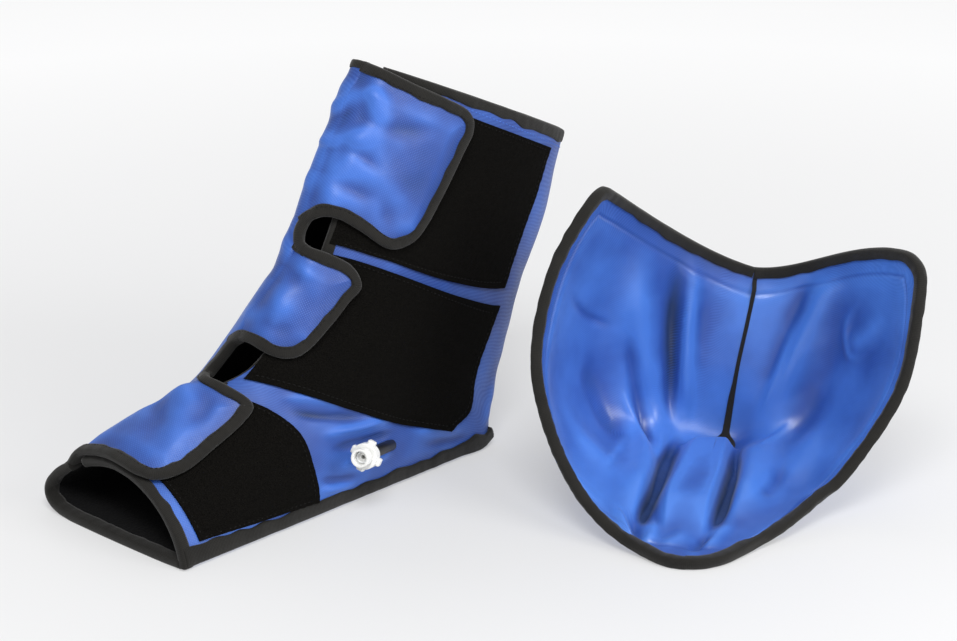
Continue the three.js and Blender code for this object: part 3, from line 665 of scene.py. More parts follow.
def coated_nylon(name, dark, light, wear, roughness, weave_strength, pitch, coat=0.0):
    """Coated woven nylon: a fine diagonal weave, slow colour drift, a sheen, a roughness that varies with
    rub, and painted shade in its creases and painted highlight on its ridges.
    """
    material, tree, shader = new_look(name)
    weave, place = weave_of(tree), place_of(tree)
    warp = bands(tree, weave, math.radians(38), pitch, 0.6)
    weft = bands(tree, weave, math.radians(-52), pitch * 0.8, 0.6)
    cloth = math_node(tree, "MULTIPLY", warp, weft)
    drift = noise(tree, place, 9.0, 4.0)
    rub = noise(tree, place, 55.0, 5.0, 0.65)
    # Painted shade and highlight: the fold shade darkens the colour in creases, nearly to black in the
    # deepest, and lightens it on ridges.
    crease = node(tree, "ShaderNodeSeparateXYZ", {"Vector": weave}).outputs["Z"]
    tone = math_node(tree, "ADD", drift, math_node(tree, "MULTIPLY", crease, 0.22))
    deep, deepest = (tuple(share * c for c in dark) for share in (0.6, 0.12))
    colour = ramp(tree, tone, [(0.04, deepest), (0.22, deep), (0.42, dark), (0.66, light)])
    inputs = {"Factor": math_node(tree, "MULTIPLY", cloth, 0.28), "A": colour, "B": (*wear, 1)}
    lifted = node(tree, "ShaderNodeMix", inputs, data_type="RGBA")
    woven = bump(tree, cloth, weave_strength, 0.0004)
    set_inputs(shader, {
        "Base Color": lifted.outputs["Result"],
        "Roughness": map_range(tree, rub, 0.3, 0.7, roughness - 0.06, roughness + 0.08),
        "Normal": bump(tree, noise(tree, place, 190.0), 0.12, 0.0008, woven),
        "Sheen Weight": 0.18,
        "Sheen Roughness": 0.4,
        "Sheen Tint": (0.55, 0.68, 1.0, 1),
        "Specular IOR Level": 0.5,
        "Coat Weight": coat,
        "Coat Roughness": 0.28,
    })
    return material


def woven_tape(name, dark, light):
    """Matt edge tape: fine ribs across its length and a dusty sheen."""
    material, tree, shader = new_look(name)
    weave, place = weave_of(tree), place_of(tree)
    ribs = bands(tree, weave, 0.0, 1.1, 1.0)
    cords = bands(tree, weave, math.radians(90), 0.9, 1.2)
    cloth = math_node(tree, "MULTIPLY", ribs, cords)
    drift = noise(tree, place, 60.0, 5.0, 0.7)
    woven = math_node(tree, "MULTIPLY", cloth, 0.45)
    blend = math_node(tree, "ADD", woven, math_node(tree, "MULTIPLY", drift, 0.6))
    set_inputs(shader, {
        "Base Color": ramp(tree, blend, [(0.2, dark), (0.85, light)]),
        "Normal": bump(tree, drift, 0.25, 0.0006, bump(tree, cloth, 0.45, 0.0004)),
        "Roughness": 0.85,
        "Sheen Weight": 0.14,
        "Sheen Roughness": 0.5,
        "Specular IOR Level": 0.25,
    })
    return material


def pile(name, dark, light, scale, strength, sheen):
    """Brushed loops or hooks: a dense tangle of tiny tufts."""
    material, tree, shader = new_look(name)
    place = place_of(tree)
    tangle = noise(tree, place, scale, 6.0, 0.75)
    tufts = node(tree, "ShaderNodeTexVoronoi", {"Vector": place, "Scale": scale * 1.3}, feature="F1")
    height = math_node(tree, "ADD", tangle, math_node(tree, "MULTIPLY", tufts.outputs["Distance"], 0.8))
    set_inputs(shader, {
        "Base Color": ramp(tree, height, [(0.35, dark), (1.0, light)]),
        "Normal": bump(tree, height, strength, 0.0012),
        "Roughness": 0.95,
        "Sheen Weight": sheen,
        "Sheen Roughness": 0.6,
        "Specular IOR Level": 0.06,
    })
    return material


def moulded(name, colour, roughness, grain, specular=0.5, soft=0.0):
    """Moulded plastic or rubber with a faint grain."""
    material, tree, shader = new_look(name)
    place = place_of(tree)
    shade = tuple(0.86 * c for c in colour)
    set_inputs(shader, {
        "Base Color": ramp(tree, noise(tree, place, 140.0), [(0.25, shade), (0.7, colour)]),
        "Normal": bump(tree, noise(tree, place, 900.0, 2.0), grain, 0.0002),
        "Roughness": roughness,
        "Specular IOR Level": specular,
        "Subsurface Weight": soft,
        "Subsurface Radius": (0.004, 0.004, 0.004),
    })
    return material


NYLON = coated_nylon(
    "boot_nylon", (0.0145, 0.052, 0.265), (0.0355, 0.128, 0.5), (0.1, 0.25, 0.74), 0.48, 0.24, 1.6
)
FILM = coated_nylon(
    "insert_film", (0.0165, 0.06, 0.3), (0.053, 0.168, 0.57), (0.12, 0.3, 0.84), 0.36, 0.18, 1.3, 0.3
)
TAPE = woven_tape("edge_tape", (0.005, 0.0046, 0.0038), (0.0175, 0.016, 0.0135))
LOOPS = pile("loop_pile", (0.0005, 0.0004, 0.0003), (0.0055, 0.005, 0.0042), 900.0, 1.0, 0.0)
HOOKS = pile("hook_pile", (0.003, 0.003, 0.003), (0.02, 0.02, 0.02), 1100.0, 0.7, 0.05)
LINING = pile("lining_knit", (0.0015, 0.0015, 0.0016), (0.006, 0.006, 0.0065), 500.0, 0.4, 0.02)
RUBBER = moulded("tube_rubber", (0.008, 0.008, 0.009), 0.38, 0.15)
WHITE = moulded("white_plastic", (0.86, 0.86, 0.84), 0.32, 0.1, 0.5, 0.15)
SILICONE = moulded("seal_silicone", (0.8, 0.81, 0.82), 0.35, 0.1, 0.5, 0.2)
BLUE_THREAD = moulded("blue_thread", (0.06, 0.17, 0.62), 0.6, 0.3)
BLACK_THREAD = moulded("black_thread", (0.006, 0.0058, 0.0055), 0.8, 0.3, 0.25)
BLADDER = moulded("bladder_film", (0.28, 0.32, 0.36), 0.45, 0.2)
GEL = moulded("gel_core", (0.5, 0.58, 0.72), 0.4, 0.2)


# ---------------------------------------------------------------- the boot's wall

def belongs(piece, nodes, body):
    """Says which CAD nodes a piece replaces and which body it rides on."""
    if nodes:
        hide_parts(*nodes)
    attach(piece, body)


def rim_step(distance, end):
    """How far in from the toe's or the top's rim a distance reaches, as a change of along."""
    return distance / np.linalg.norm(NEAR.slopes(np.array(0.5), np.array(end * LAST_ROW))[1])


def wall_place(gap, root_lap):
    """Round the whole wall, from the near panel's front edge, under the foot, to the flaps' root."""
    def place(u, v):
        along = mix(rim_step(gap, 0), LAST_ROW - rim_step(gap, 1), v)
        start = across_at(NEAR_EDGE, along) + 0.015
        end = 2 + across_at(FLAP_ROOT, along) + root_lap
        return mix(start, end, u), along
    return place


def shell_height(across, along, bare, rim):
    root = 2 + across_at(FLAP_ROOT, along)
    return wall_relief(across, along, bare) - 0.5 * smooth(across, root - 0.01, root + 0.01)


shell_place = wall_place(3.0, 0.012)
shell = laid_sheet("boot_shell", ROUND, shell_place, shell_height, CLOTH_DEPTH, (300, 250), [NYLON])
belongs(shell, ["near_shell", "far_shell"], "boot")


def lining_height(across, along, bare, rim):
    return LINING_AT + 0.15 * ripple(bare, 30, 8) + 0.6 * (1 - smooth(rim, 3, 12))


lining_place = wall_place(3.0, -0.005)
lining = laid_sheet("boot_lining", ROUND, lining_place, lining_height, LINING_DEPTH, (150, 150), [LINING])
belongs(lining, ["near_lining", "far_lining"], "boot")

bladder_place = wall_place(5.0, -0.01)
bladder = laid_sheet(
    "boot_bladder", ROUND, bladder_place, level(BLADDER_AT), BLADDER_DEPTH, (120, 110), [BLADDER]
)
belongs(bladder, ["near_bladder", "far_bladder"], "boot")


wall_top = level(-0.2)
wall_bottom = level(-WALL_DEPTH + 0.9)


def boot_binding(
    name, patch, rim, nodes, steps, seed, width=BINDING_WIDTH, outer=wall_top, inner=wall_bottom, tab=0
):
    piece = tape(name, patch, rim, outer, inner, width, steps, seed, tab)
    belongs(piece, nodes, "boot")


def end_rim(start, stop, end):
    """Along the toe's or the top's rim, from one across value to another."""
    def rim(s, distance):
        inwards = rim_step(distance, end)
        return mix(start, stop, s), (LAST_ROW - inwards if end else inwards) + 0.0 * s
    return rim


# each rim's tape: its patch, where it starts and stops across, the end it is at, its steps and its seed
RIM_TAPES = {
    "near_toe": (NEAR, -0.18, 0.995, 0, 160, 11),
    "far_toe": (ROUND, 1.005, 1.74, 0, 200, 12),
    "near_top": (NEAR, 0.12, 1.0, 1, 160, 13),
    "far_top": (ROUND, 1.0, 2.05, 1, 170, 14),
}
for name, (patch, start, stop, end, steps, seed) in RIM_TAPES.items():
    boot_binding(name + "_tape", patch, end_rim(start, stop, end), [name + "_binding"], steps, seed)


def front_rim(s, distance):
    along = mix(0.3, LAST_ROW - 0.3, s)
    edge = across_at(NEAR_EDGE, along)
    return edge + distance / np.linalg.norm(NEAR.slopes(edge, along)[0], axis=-1), along


boot_binding("front_edge_tape", NEAR, front_rim, ["front_edge_binding"], 260, 15)


def seam_rim(s, distance):
    along = mix(0.05, HEEL_ROW + 0.02, s)
    return 1 - (0.1 + distance) / np.linalg.norm(NEAR.slopes(1.0 + 0 * s, along)[0], axis=-1), along


seam_faces = (level(0.3), level(-2.2))
boot_binding("sole_seam_tape", NEAR, seam_rim, ["sole_seam_binding"], 220, 16, SEAM_HEIGHT, *seam_faces, 8)


# ---------------------------------------------------------------- loop fields

FIELDS = {
    "top": {
        "bottom": [(0.165, 5.97), (0.28, 6.37), (0.38, 6.75), (0.56, 7.3), (0.75, 7.75)],
        "top": [(0.18, 9.68), (0.425, 9.66), (0.6, 9.68), (0.77, 9.7)],
        "end": [(0.75, 7.75), (0.745, 8.72), (0.77, 9.7)],
        "centre": (0.5, 8.7),
        "flat": (0.14, 0.125),
    },
    "middle": {
        "bottom": [(0.165, 2.22), (0.38, 2.55), (0.56, 2.86), (0.72, 3.3), (0.82, 3.95)],
        "top": [(0.165, 5.66), (0.3, 6.2), (0.448, 6.76), (0.6, 7.2), (0.755, 7.52)],
        "end": [(0.82, 3.95), (0.775, 4.7), (0.745, 5.5), (0.735, 6.5), (0.755, 7.52)],
        "centre": (0.5, 5.0),
        "flat": (0.145, 0.11),
    },
    "toe": {
        "bottom": [(0.2, 0.24), (0.397, 0.25), (0.6, 0.26), (0.785, 0.28)],
        "top": [(0.24, 1.92), (0.36, 2.05), (0.52, 2.11), (0.71, 1.99), (0.9, 1.91)],
        "end": [(0.785, 0.28), (0.85, 1.1), (0.9, 1.91)],
        "centre": (0.5, 1.1),
        "flat": (0.102, 0.072),
    },
}


def between(bottom, top, left, right):
    """The four-sided patch inside four traces that meet at its corners."""
    def place(u, v):
        u3, v3 = u[..., None], v[..., None]
        b, t, l, r = bottom(u), top(u), left(v), right(v)
        flat = np.zeros(1)
        c00, c10, c01, c11 = bottom(flat), bottom(flat + 1), top(flat), top(flat + 1)
        corners = mix(mix(c00, c10, u3), mix(c01, c11, u3), v3)
        pair = mix(b, t, v3) + mix(l, r, u3) - corners
        return pair[..., 0], pair[..., 1]
    return place


def field_height(across, along, bare, rim):
    fuzz = 0.1 * ripple(bare, 4.0, 21)
    pressed = 0.45 * np.exp(-(((rim - 4.5) / 1.3) ** 2))
    return wall_relief(across, along, bare) + FIELD_RISE + fuzz - pressed


for name, sides in FIELDS.items():
    start = trace([sides["bottom"][0], sides["top"][0]])
    place = between(trace(sides["bottom"]), trace(sides["top"]), start, trace(sides["end"]))
    field = laid_sheet("loop_pile_" + name, NEAR, place, field_height, FIELD_DEPTH, (150, 110), [LOOPS])
    belongs(field, ["loop_field_" + name], "boot")


# a stitch's bar from end to end: its thickness and its height, as shares of its radius
BAR_SWELL = np.array([0.35, 0.9, 1.0, 0.9, 0.35])
BAR_LIFT = np.array([-0.7, 0.1, 0.35, 0.1, -0.7])


def sewn(name, path, height, thread, long, radius, pitch=3.6):
    """A row of stitches along a path of (across, along), so far above the near side's surface: each a small
    rounded bar pulled into the cloth."""
    across, along = path
    line = NEAR.at(across, along, height(across, along))
    normals = NEAR.slopes(across, along)[2]
    run = lengths_along(line)
    rings, sides = len(BAR_SWELL), 6
    points, quads = [], []
    for number, start in enumerate(np.arange(pitch / 2, run[-1] - pitch, pitch)):
        k = start + np.linspace(0, 1, rings) * long
        centre, normal = (np.stack([np.interp(k, run, a) for a in rows.T], 1) for rows in (line, normals))
        normal = unit(normal)
        side = unit(np.cross(normal, unit(centre[-1] - centre[0])))
        rise = radius * (BAR_LIFT[:, None] + BAR_SWELL[:, None] * np.sin(turns(sides)))
        aside = radius * BAR_SWELL[:, None] * np.cos(turns(sides))
        ring = centre[:, None] + normal[:, None] * rise[..., None] + side[:, None] * aside[..., None]
        points.append(ring.reshape(-1, 3))
        quads.append(tube_quads(rings, sides, number * sides * rings))
    return make_object(name, np.concatenate(points), np.concatenate(quads), [thread])


def on_wall(lift):
    return lambda across, along: wall_relief(across, along, boot_point(across, along)) + lift


run = np.linspace(0, 1, 400)
top_row = (mix(0.3, 0.985, run), LAST_ROW - rim_step(BINDING_WIDTH + 2.6, 1) + 0 * run)
rows = [sewn("top_stitches", top_row, on_wall(0.1), BLUE_THREAD, long=2.0, pitch=3.4, radius=0.3)]
for name, sides in FIELDS.items():
    for part in ("bottom", "top", "end"):
        line = trace(sides[part])(run)
        line = line + (np.array(sides["centre"]) - line) * np.array([0.06, 0.055])
        row_name = f"field_{name}_{part}_stitches"
        rows.append(sewn(row_name, line.T, on_wall(1.35), BLACK_THREAD, long=2.4, radius=0.3))
for row in rows:
    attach(row, "boot")


# ---------------------------------------------------------------- closure flaps

FLAPS = {
    "top": {
        "edge": [
            (0.035, 5.98), (0.07, 6.24), (0.12, 6.53), (0.17, 6.68), (0.235, 6.75), (0.325, 6.84),
            (0.38, 7.24), (0.405, 7.7), (0.42, 8.35), (0.43, 8.97), (0.438, 9.45), (0.412, 9.72),
            (0.333, 9.8), (0.23, 9.85), (0.13, 9.93), (0.03, 10.0),
        ],
        "tip": (6.5, 10.5),
        "hinge": (170.53, 44.15, 238.93),
        "nearward": (0.217, -0.968, -0.126),
    },
    "middle": {
        "edge": [
            (-0.055, 2.7), (0.0, 2.82), (0.08, 2.88), (0.18, 2.86), (0.25, 2.96), (0.284, 3.25),
            (0.29, 4.0), (0.286, 4.8), (0.294, 5.5), (0.25, 5.8), (0.17, 5.68), (0.1, 5.54), (0.035, 5.6),
        ],
        "tip": (5.3, 8.5),
        "hinge": (116.71, 55.18, 145.37),
        "nearward": (-0.154, -0.967, -0.203),
    },
    "toe": {
        "edge": [
            (-0.29, 0.02), (-0.1, 0.02), (0.1, 0.02), (0.2, 0.06), (0.3, 0.2), (0.362, 0.55), (0.355, 1.07),
            (0.33, 1.62), (0.285, 1.93), (0.14, 1.94), (0.03, 1.92), (-0.03, 2.02), (-0.085, 2.12),
        ],
        "tip": (4.6, 7.7),
        "hinge": (44.62, 103.4, 63.35),
        "nearward": (-0.588, -0.773, 0.236),
    },
}


def free_edge(patch, points, turn):
    """A free edge, and the same edge moved in by a distance."""
    line = trace(points)

    def inset(s, distance):
        here = line(s)
        across, along = here[..., 0], here[..., 1]
        change = line(s + SLOPE_STEP) - line(s - SLOPE_STEP)
        du, dv, normal = patch.slopes(across, along)
        tangent = du * change[..., :1] + dv * change[..., 1:]
        inwards = turn * unit(np.cross(normal, tangent))
        return patch.walk(across, along, inwards, distance)
    return inset


def inside_patch(inset, distance, tip):
    """The patch inside a free edge, moved in all round; tip is the part of the edge opposite the root."""
    start, end = tip

    def pair(s):
        return np.stack(inset(s, distance), -1)

    first, last = pair(np.zeros(1)), pair(np.ones(1))
    return between(
        lambda u: pair(u * start),
        lambda u: pair(1 - u * (1 - end)),
        lambda v: mix(first, last, v[..., None]),
        lambda v: pair(mix(start, end, v)),
    )


def rooted(place, lap):
    """Keeps a flap's points on its own side of the root, or so little over it."""
    def held(u, v):
        across, along = place(u, v)
        return np.maximum(across, across_at(FLAP_ROOT, along) - lap), along
    return held


FLAP_FOLDS = [
    # the top flap: a valley down its root side, and creases running in from it
    ([(0.1, 9.9), (0.07, 9.4), (0.11, 8.85), (0.07, 8.35), (0.09, 7.85), (0.05, 7.2)], 6, -3.6),
    ([(0.17, 9.8), (0.14, 9.35), (0.18, 8.8), (0.14, 8.35), (0.16, 7.85)], 8, 2.6),
    ([(0.03, 9.0), (0.08, 9.25), (0.13, 9.6)], 4.5, 1.8),
    ([(0.02, 8.15), (0.07, 8.25), (0.13, 8.55)], 4.5, 2.0),
    ([(0.13, 8.7), (0.2, 8.82), (0.27, 9.0), (0.35, 9.3)], 6, -1.7),
    ([(0.1, 8.1), (0.16, 8.12), (0.23, 8.02)], 5, -2.4),
    ([(0.12, 7.85), (0.21, 7.95), (0.3, 7.8), (0.37, 7.5)], 9, 1.6),
    ([(0.08, 7.3), (0.16, 7.4), (0.25, 7.5)], 6, -2.0),
    ([(0.27, 7.6), (0.3, 7.2), (0.29, 6.95)], 6, -1.2),
    # the middle flap
    ([(0.02, 5.45), (0.08, 5.2), (0.15, 4.95)], 6, 2.0),
    ([(0.0, 5.0), (0.07, 4.65), (0.14, 4.3)], 6, -2.2),
    ([(0.1, 5.3), (0.16, 4.8), (0.19, 4.2)], 8, 1.6),
    ([(0.03, 4.2), (0.1, 3.85), (0.18, 3.8)], 7, 1.5),
    ([(0.04, 3.45), (0.13, 3.3), (0.21, 3.5)], 6, -1.5),
    # the toe flap
    ([(-0.1, 1.9), (0.04, 1.45), (0.16, 0.9), (0.24, 0.5)], 11, 2.0),
    ([(-0.16, 1.45), (-0.02, 1.0), (0.12, 0.5)], 9, -1.9),
    ([(0.06, 1.8), (0.15, 1.45), (0.23, 1.0)], 8, -1.6),
    ([(0.17, 1.8), (0.24, 1.4), (0.29, 1.0)], 6, 1.5),
]


def flap_relief(across, along, bare, rim):
    """A flap's cloth: it bulges between its edges and is drawn down under its tape."""
    own = 0.6 * ripple(bare, 75, 31) + 0.1 * ripple(bare, 24, 32) + folds_on(NEAR, bare, FLAP_FOLDS)
    drawn = smooth(rim, 3.0, 17)
    root = across_at(FLAP_ROOT, along)
    grown = smooth(across, root, root + 0.12)
    shared = wall_relief(across, along, bare)
    return mix(shared * drawn, (1.6 + own) * drawn, grown) - 0.35 * (1 - drawn)


def on_flap(rise):
    """So far above the flaps' own surface."""
    return lambda across, along: flap_height(across, along) + rise


def cover_height(across, along, bare, rim):
    return flap_height(across, along) + flap_relief(across, along, bare, rim) + 0.06


def hook_height(across, along, bare, rim):
    hooks = 0.1 * ripple(bare, 2.2, 51)
    return flap_height(across, along) - FLAP_DEPTH - 0.1 + hooks


def closure_flap(name, flap):
    """A flap's padded cloth, its edge tape and stitches, and its hook patch."""
    inset = free_edge(NEAR, flap["edge"], 1)
    marks = [m / (len(flap["edge"]) - 1) for m in flap["tip"]]
    cover_place = rooted(inside_patch(inset, 3.5, marks), 0.012)
    inner = inside_patch(inset, 13, marks)

    def hook_place(u, v):
        return inner(mix(0.45, 1, u), v)

    cover = laid_sheet(
        "flap_pad_" + name, NEAR, cover_place, cover_height, FLAP_DEPTH, (130, 120), [NYLON, LINING], 1
    )
    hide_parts(f"flap_{name}_cover")

    faces = (on_flap(0.1), on_flap(0.2 - FLAP_DEPTH))
    edge_tape = tape("flap_tape_" + name, NEAR, inset, *faces, BINDING_WIDTH, 420, 41 + len(name))
    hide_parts(f"flap_{name}_binding")

    seam_line = inset(np.linspace(0.015, 0.985, 900), BINDING_WIDTH - 1.3)
    stitches = sewn(
        "flap_stitches_" + name, seam_line, on_flap(1.15), BLACK_THREAD, long=2.2, pitch=3.3, radius=0.26
    )

    for piece in (cover, edge_tape, stitches):
        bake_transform(piece)

    hook = laid_sheet("hook_patch_" + name, NEAR, hook_place, hook_height, CLOTH_DEPTH, (60, 60), [HOOKS])
    belongs(hook, [f"flap_{name}_hook"], "flap_" + name)


for name, flap in FLAPS.items():
    closure_flap(name, flap)


def under_flap(across, along):
    """From 0 at a notch's inner end to 1 where its tape goes under the flap's own."""
    root = across_at(FLAP_ROOT, along)
    return smooth(across, root + 0.045, root + 0.075)


def notch_top(across, along):
    return flap_height(across, along) + mix(0.25, -1.3, under_flap(across, along))


def notch_bottom(across, along):
    return mix(wall_bottom(across, along), flap_height(across, along) - 2.0, under_flap(across, along))


for number, (name, points) in enumerate(NOTCHES.items()):
    rim = free_edge(NEAR, points, -1)
    boot_binding("notch_tape_" + name, NEAR, rim, [], 120, 60 + number, outer=notch_top, inner=notch_bottom)


# ---------------------------------------------------------------- air port

AXIS = unit(TUBE_DIRECTION)
BARB_AT = TUBE_LENGTH - 10
FLANGE_AT = TUBE_LENGTH + 0.4
COLLAR_AT = FLANGE_AT + 3.4
COLLAR_LONG = 9.0
NOZZLE_AT = COLLAR_AT + 9.6
FIRST_TAB = 0.35
TAB_HALF_SIZE = (2.5, 2.75)
# how far from the axis each ring of a tab lies, and its size as a share of the first's
TAB_RINGS = [(7.6, 1.0), (9.6, 1.0), (10.5, 0.95), (10.9, 0.82), (11.0, 0.6)]


def port_piece(name, profile, material, node_name, body, corner=0.35):
    piece = lathe_object(name, rounded(profile, corner), PORT, AXIS, material)
    belongs(piece, [node_name], body)


tube_profile = [(2.6, -1), (4.0, -1), (4.0, TUBE_LENGTH), (2.6, TUBE_LENGTH)]
port_piece("port_tube", tube_profile, RUBBER, "air_tube", "boot", 0.5)
body_profile = [
    (1.3, BARB_AT), (2.3, BARB_AT), (2.3, FLANGE_AT), (6.6, FLANGE_AT), (6.6, COLLAR_AT - 0.4),
    (5.2, COLLAR_AT - 0.4), (5.2, NOZZLE_AT), (6.3, NOZZLE_AT), (6.3, NOZZLE_AT + 7), (4.6, NOZZLE_AT + 7),
    (4.6, NOZZLE_AT + 1), (1.3, NOZZLE_AT + 1),
]
port_piece("port_body", body_profile, WHITE, "fitting_body", "boot")
seal_profile = [(3.6 + 0.65 * math.cos(a), NOZZLE_AT + 2 + 0.65 * math.sin(a)) for a in turns(12)]
port_piece("port_seal", seal_profile, SILICONE, "mouth_seal", "boot", 0.05)
collar_profile = [
    (5.55, COLLAR_AT), (8.1, COLLAR_AT), (8.1, COLLAR_AT + 2.2), (8.8, COLLAR_AT + 2.2),
    (8.8, COLLAR_AT + COLLAR_LONG), (5.55, COLLAR_AT + COLLAR_LONG),
]
port_piece("port_collar", collar_profile, WHITE, "locking_collar", "collar")


def collar_tab(number):
    """One grip on the collar: a rounded block that tapers outwards."""
    out = spokes(AXIS, number * math.pi / 2 + FIRST_TAB)
    middle = PORT + AXIS * (COLLAR_AT + COLLAR_LONG / 2)
    circle = np.stack([np.cos(turns(16)), np.sin(turns(16))], -1)
    outline = circle / np.abs(circle).max(1, keepdims=True) ** 0.75 * TAB_HALF_SIZE
    sideways = outline @ np.stack([AXIS, np.cross(AXIS, out)])
    rings = [middle + share * sideways + out * reach for reach, share in TAB_RINGS]
    tab = sweep_object(f"port_tab_{number}", np.array(rings), WHITE)
    belongs(tab, [], "collar")


for number in range(4):
    collar_tab(number)


# ---------------------------------------------------------------- the cold insert

HALF_EDGE = [
    (0.0, 0), (0.3, 0), (0.58, 0.05), (0.8, 0.28), (0.92, 0.66), (0.98, 1.2), (1, 2),
    (1, 3), (1, 4), (1, 4.7), (0.94, 4.96), (0.8, 5), (0.45, 5), (0.0, 5),
]
HALF_MARKS = [m / (len(HALF_EDGE) - 1) for m in (3, 10)]
GROOVES = [
    ([(-0.17, 3.05), (-0.21, 2.4), (-0.24, 1.7), (-0.3, 1.1), (-0.42, 0.62)], 5, -15),
    ([(0.1, 2.8), (0.13, 2.1), (0.14, 1.4), (0.13, 0.7)], 5, -15),
]
INSERT_FOLDS = [
    # the wings swell beside the grooves
    ([(-0.26, 3.3), (-0.31, 2.4), (-0.35, 1.6), (-0.46, 0.95)], 16, 13.0),
    ([(0.2, 3.5), (0.23, 2.4), (0.26, 1.6), (0.26, 0.95)], 17, 13.0),
    # the left wing's tall folds
    ([(-0.34, 5.1), (-0.26, 4.3), (-0.2, 3.6), (-0.17, 2.9)], 7, 5.5),
    ([(-0.4, 5.0), (-0.31, 4.2), (-0.24, 3.5), (-0.2, 2.9)], 7, -5.2),
    ([(-0.62, 4.9), (-0.5, 4.2), (-0.4, 3.6), (-0.33, 3.0)], 16, 7.5),
    ([(-0.54, 4.1), (-0.42, 3.5), (-0.33, 2.9), (-0.29, 2.3)], 6, -4.5),
    ([(-0.66, 3.5), (-0.52, 3.0), (-0.4, 2.5)], 11, -3.6),
    ([(-0.36, 3.1), (-0.3, 2.6), (-0.28, 2.0)], 5, -5.0),
    ([(-0.66, 2.4), (-0.54, 2.0), (-0.46, 1.5)], 12, 2.6),
    # the right wing's
    ([(0.56, 5.0), (0.42, 4.4), (0.31, 3.8), (0.22, 3.1)], 10, 6.0),
    ([(0.4, 5.0), (0.29, 4.3), (0.2, 3.6)], 8, -3.5),
    ([(0.64, 4.3), (0.52, 3.7), (0.42, 3.1), (0.36, 2.5)], 12, -4.5),
    ([(0.8, 4.1), (0.69, 3.85), (0.58, 3.9)], 8, 2.6),
    ([(0.52, 3.0), (0.5, 2.4), (0.5, 1.8)], 13, 3.6),
    ([(0.42, 2.3), (0.4, 1.7), (0.38, 1.3)], 6, -3.4),
    # fine creases over both wings
    ([(-0.86, 3.9), (-0.7, 3.84), (-0.56, 3.88)], 3.2, -1.5),
    ([(-0.46, 3.3), (-0.37, 2.9), (-0.31, 2.5)], 3.0, 1.9),
    ([(-0.4, 2.7), (-0.47, 2.2), (-0.57, 1.8)], 3.2, 1.7),
    ([(-0.3, 4.6), (-0.235, 3.9), (-0.2, 3.3)], 3.0, 1.8),
    ([(0.34, 4.5), (0.24, 3.7), (0.17, 3.1)], 3.0, 1.7),
    ([(0.66, 4.4), (0.58, 4.1), (0.6, 3.75), (0.7, 3.6)], 3.2, 1.6),
    ([(0.37, 3.2), (0.3, 2.8), (0.24, 2.5)], 3.0, 1.8),
    # puckers at the front of the sole
    ([(-0.72, 0.3), (-0.62, 0.6), (-0.54, 1.1)], 5, 4.0),
    ([(-0.62, 0.26), (-0.5, 0.5), (-0.43, 0.85)], 4, -4.0),
    ([(-0.5, 0.3), (-0.36, 0.5), (-0.26, 0.85)], 5.5, 3.6),
    ([(-0.3, 0.26), (-0.14, 0.4), (-0.02, 0.66)], 6, 2.6),
    ([(0.0, 0.24), (0.09, 0.4), (0.13, 0.62)], 4, -3.6),
    ([(0.14, 0.26), (0.2, 0.5), (0.24, 0.95)], 5.5, 3.8),
]


def insert_relief(across, along, bare, rim):
    """How far the insert's inner film stands off: folds, a tongue between two grooves, and an edge weld."""
    soft = 0.8 * ripple(bare, 90, 71)
    left, right = -0.205 - 0.04 * (2.2 - along), 0.125
    pillow = smooth(across, left, left + 0.08) * (1 - smooth(across, right - 0.07, right))
    pillow = pillow * smooth(along, 0.45, 1.2) * (1 - smooth(along, 2.62, 2.76))
    weld = -0.8 * np.exp(-(((rim - 15) / 1.2) ** 2))
    folds = folds_on(SPINE, bare, INSERT_FOLDS + GROOVES)
    settle = smooth(rim, 2.5, 24)
    height = (INSERT_PUFF + soft + folds + TONGUE_RISE * pillow) * settle + weld - 0.3 * (1 - settle)
    below = 1 - np.exp((height - DEEPEST_FOLD) / FOLD_EASE)
    return np.where(height > DEEPEST_FOLD, height, DEEPEST_FOLD - FOLD_EASE * below)


def insert_back_height(across, along, bare, rim):
    bulge = (0.8 * ripple(bare, 50, 81) + 0.3 * ripple(bare, 18, 82)) * smooth(rim, 3, 24)
    clear = np.maximum(np.minimum(bulge, 0.6), -1.6)
    tucked = 1.0 * (1 - smooth(rim, 3, 14))
    return -INSERT_STACK + 0.9 + tucked + clear * smooth(bare[..., 2], 7, 22)


SIDES = {"left": (LEFT, -1), "right": (RIGHT, 1)}
INSET = {
    side: free_edge(patch, [(sign * a, b) for a, b in HALF_EDGE], sign)
    for side, (patch, sign) in SIDES.items()
}


def half_grid(side, columns, rows):
    """Places over one half of the insert, from the spine out to its edge."""
    patch, _ = SIDES[side]
    u, v = np.meshgrid(np.linspace(0, 1, columns + 1), np.linspace(0, 1, rows + 1))
    across, along = inside_patch(INSET[side], 3.0, HALF_MARKS)(u, v)
    return patch, across - across[:, :1] * (1 - u), along


def insert_layer(columns, rows, height_of):
    """One face of the whole insert: both halves, which share the spine."""
    halves = {}
    for side in SIDES:
        patch, across, along = half_grid(side, columns, rows)
        bare = patch.point(across, along)
        height = height_of(across, along, bare, from_edges(bare))
        halves[side] = np.concatenate([patch.at(across, along, height), height[..., None]], -1)
    spine = (halves["left"][:, :1] + halves["right"][:, :1]) / 2
    both = np.concatenate([halves["left"][:, :0:-1], spine, halves["right"][:, 1:]], axis=1)
    return both[..., :3], both[..., 3]


def lowered(height_of, depth):
    return lambda *place: height_of(*place) - depth


def insert_sheet(name, columns, rows, height_of, under, material, nodes):
    top, height = insert_layer(columns, rows, height_of)
    bottom, _ = insert_layer(columns, rows, under)
    piece = sheet_object(name, top, bottom, [material], 0, painted_fold_shade(height, 2.4))
    belongs(piece, nodes, "insert")
    return piece


def gel_height(*place):
    return np.maximum(insert_relief(*place) - 2.2, -4.6)


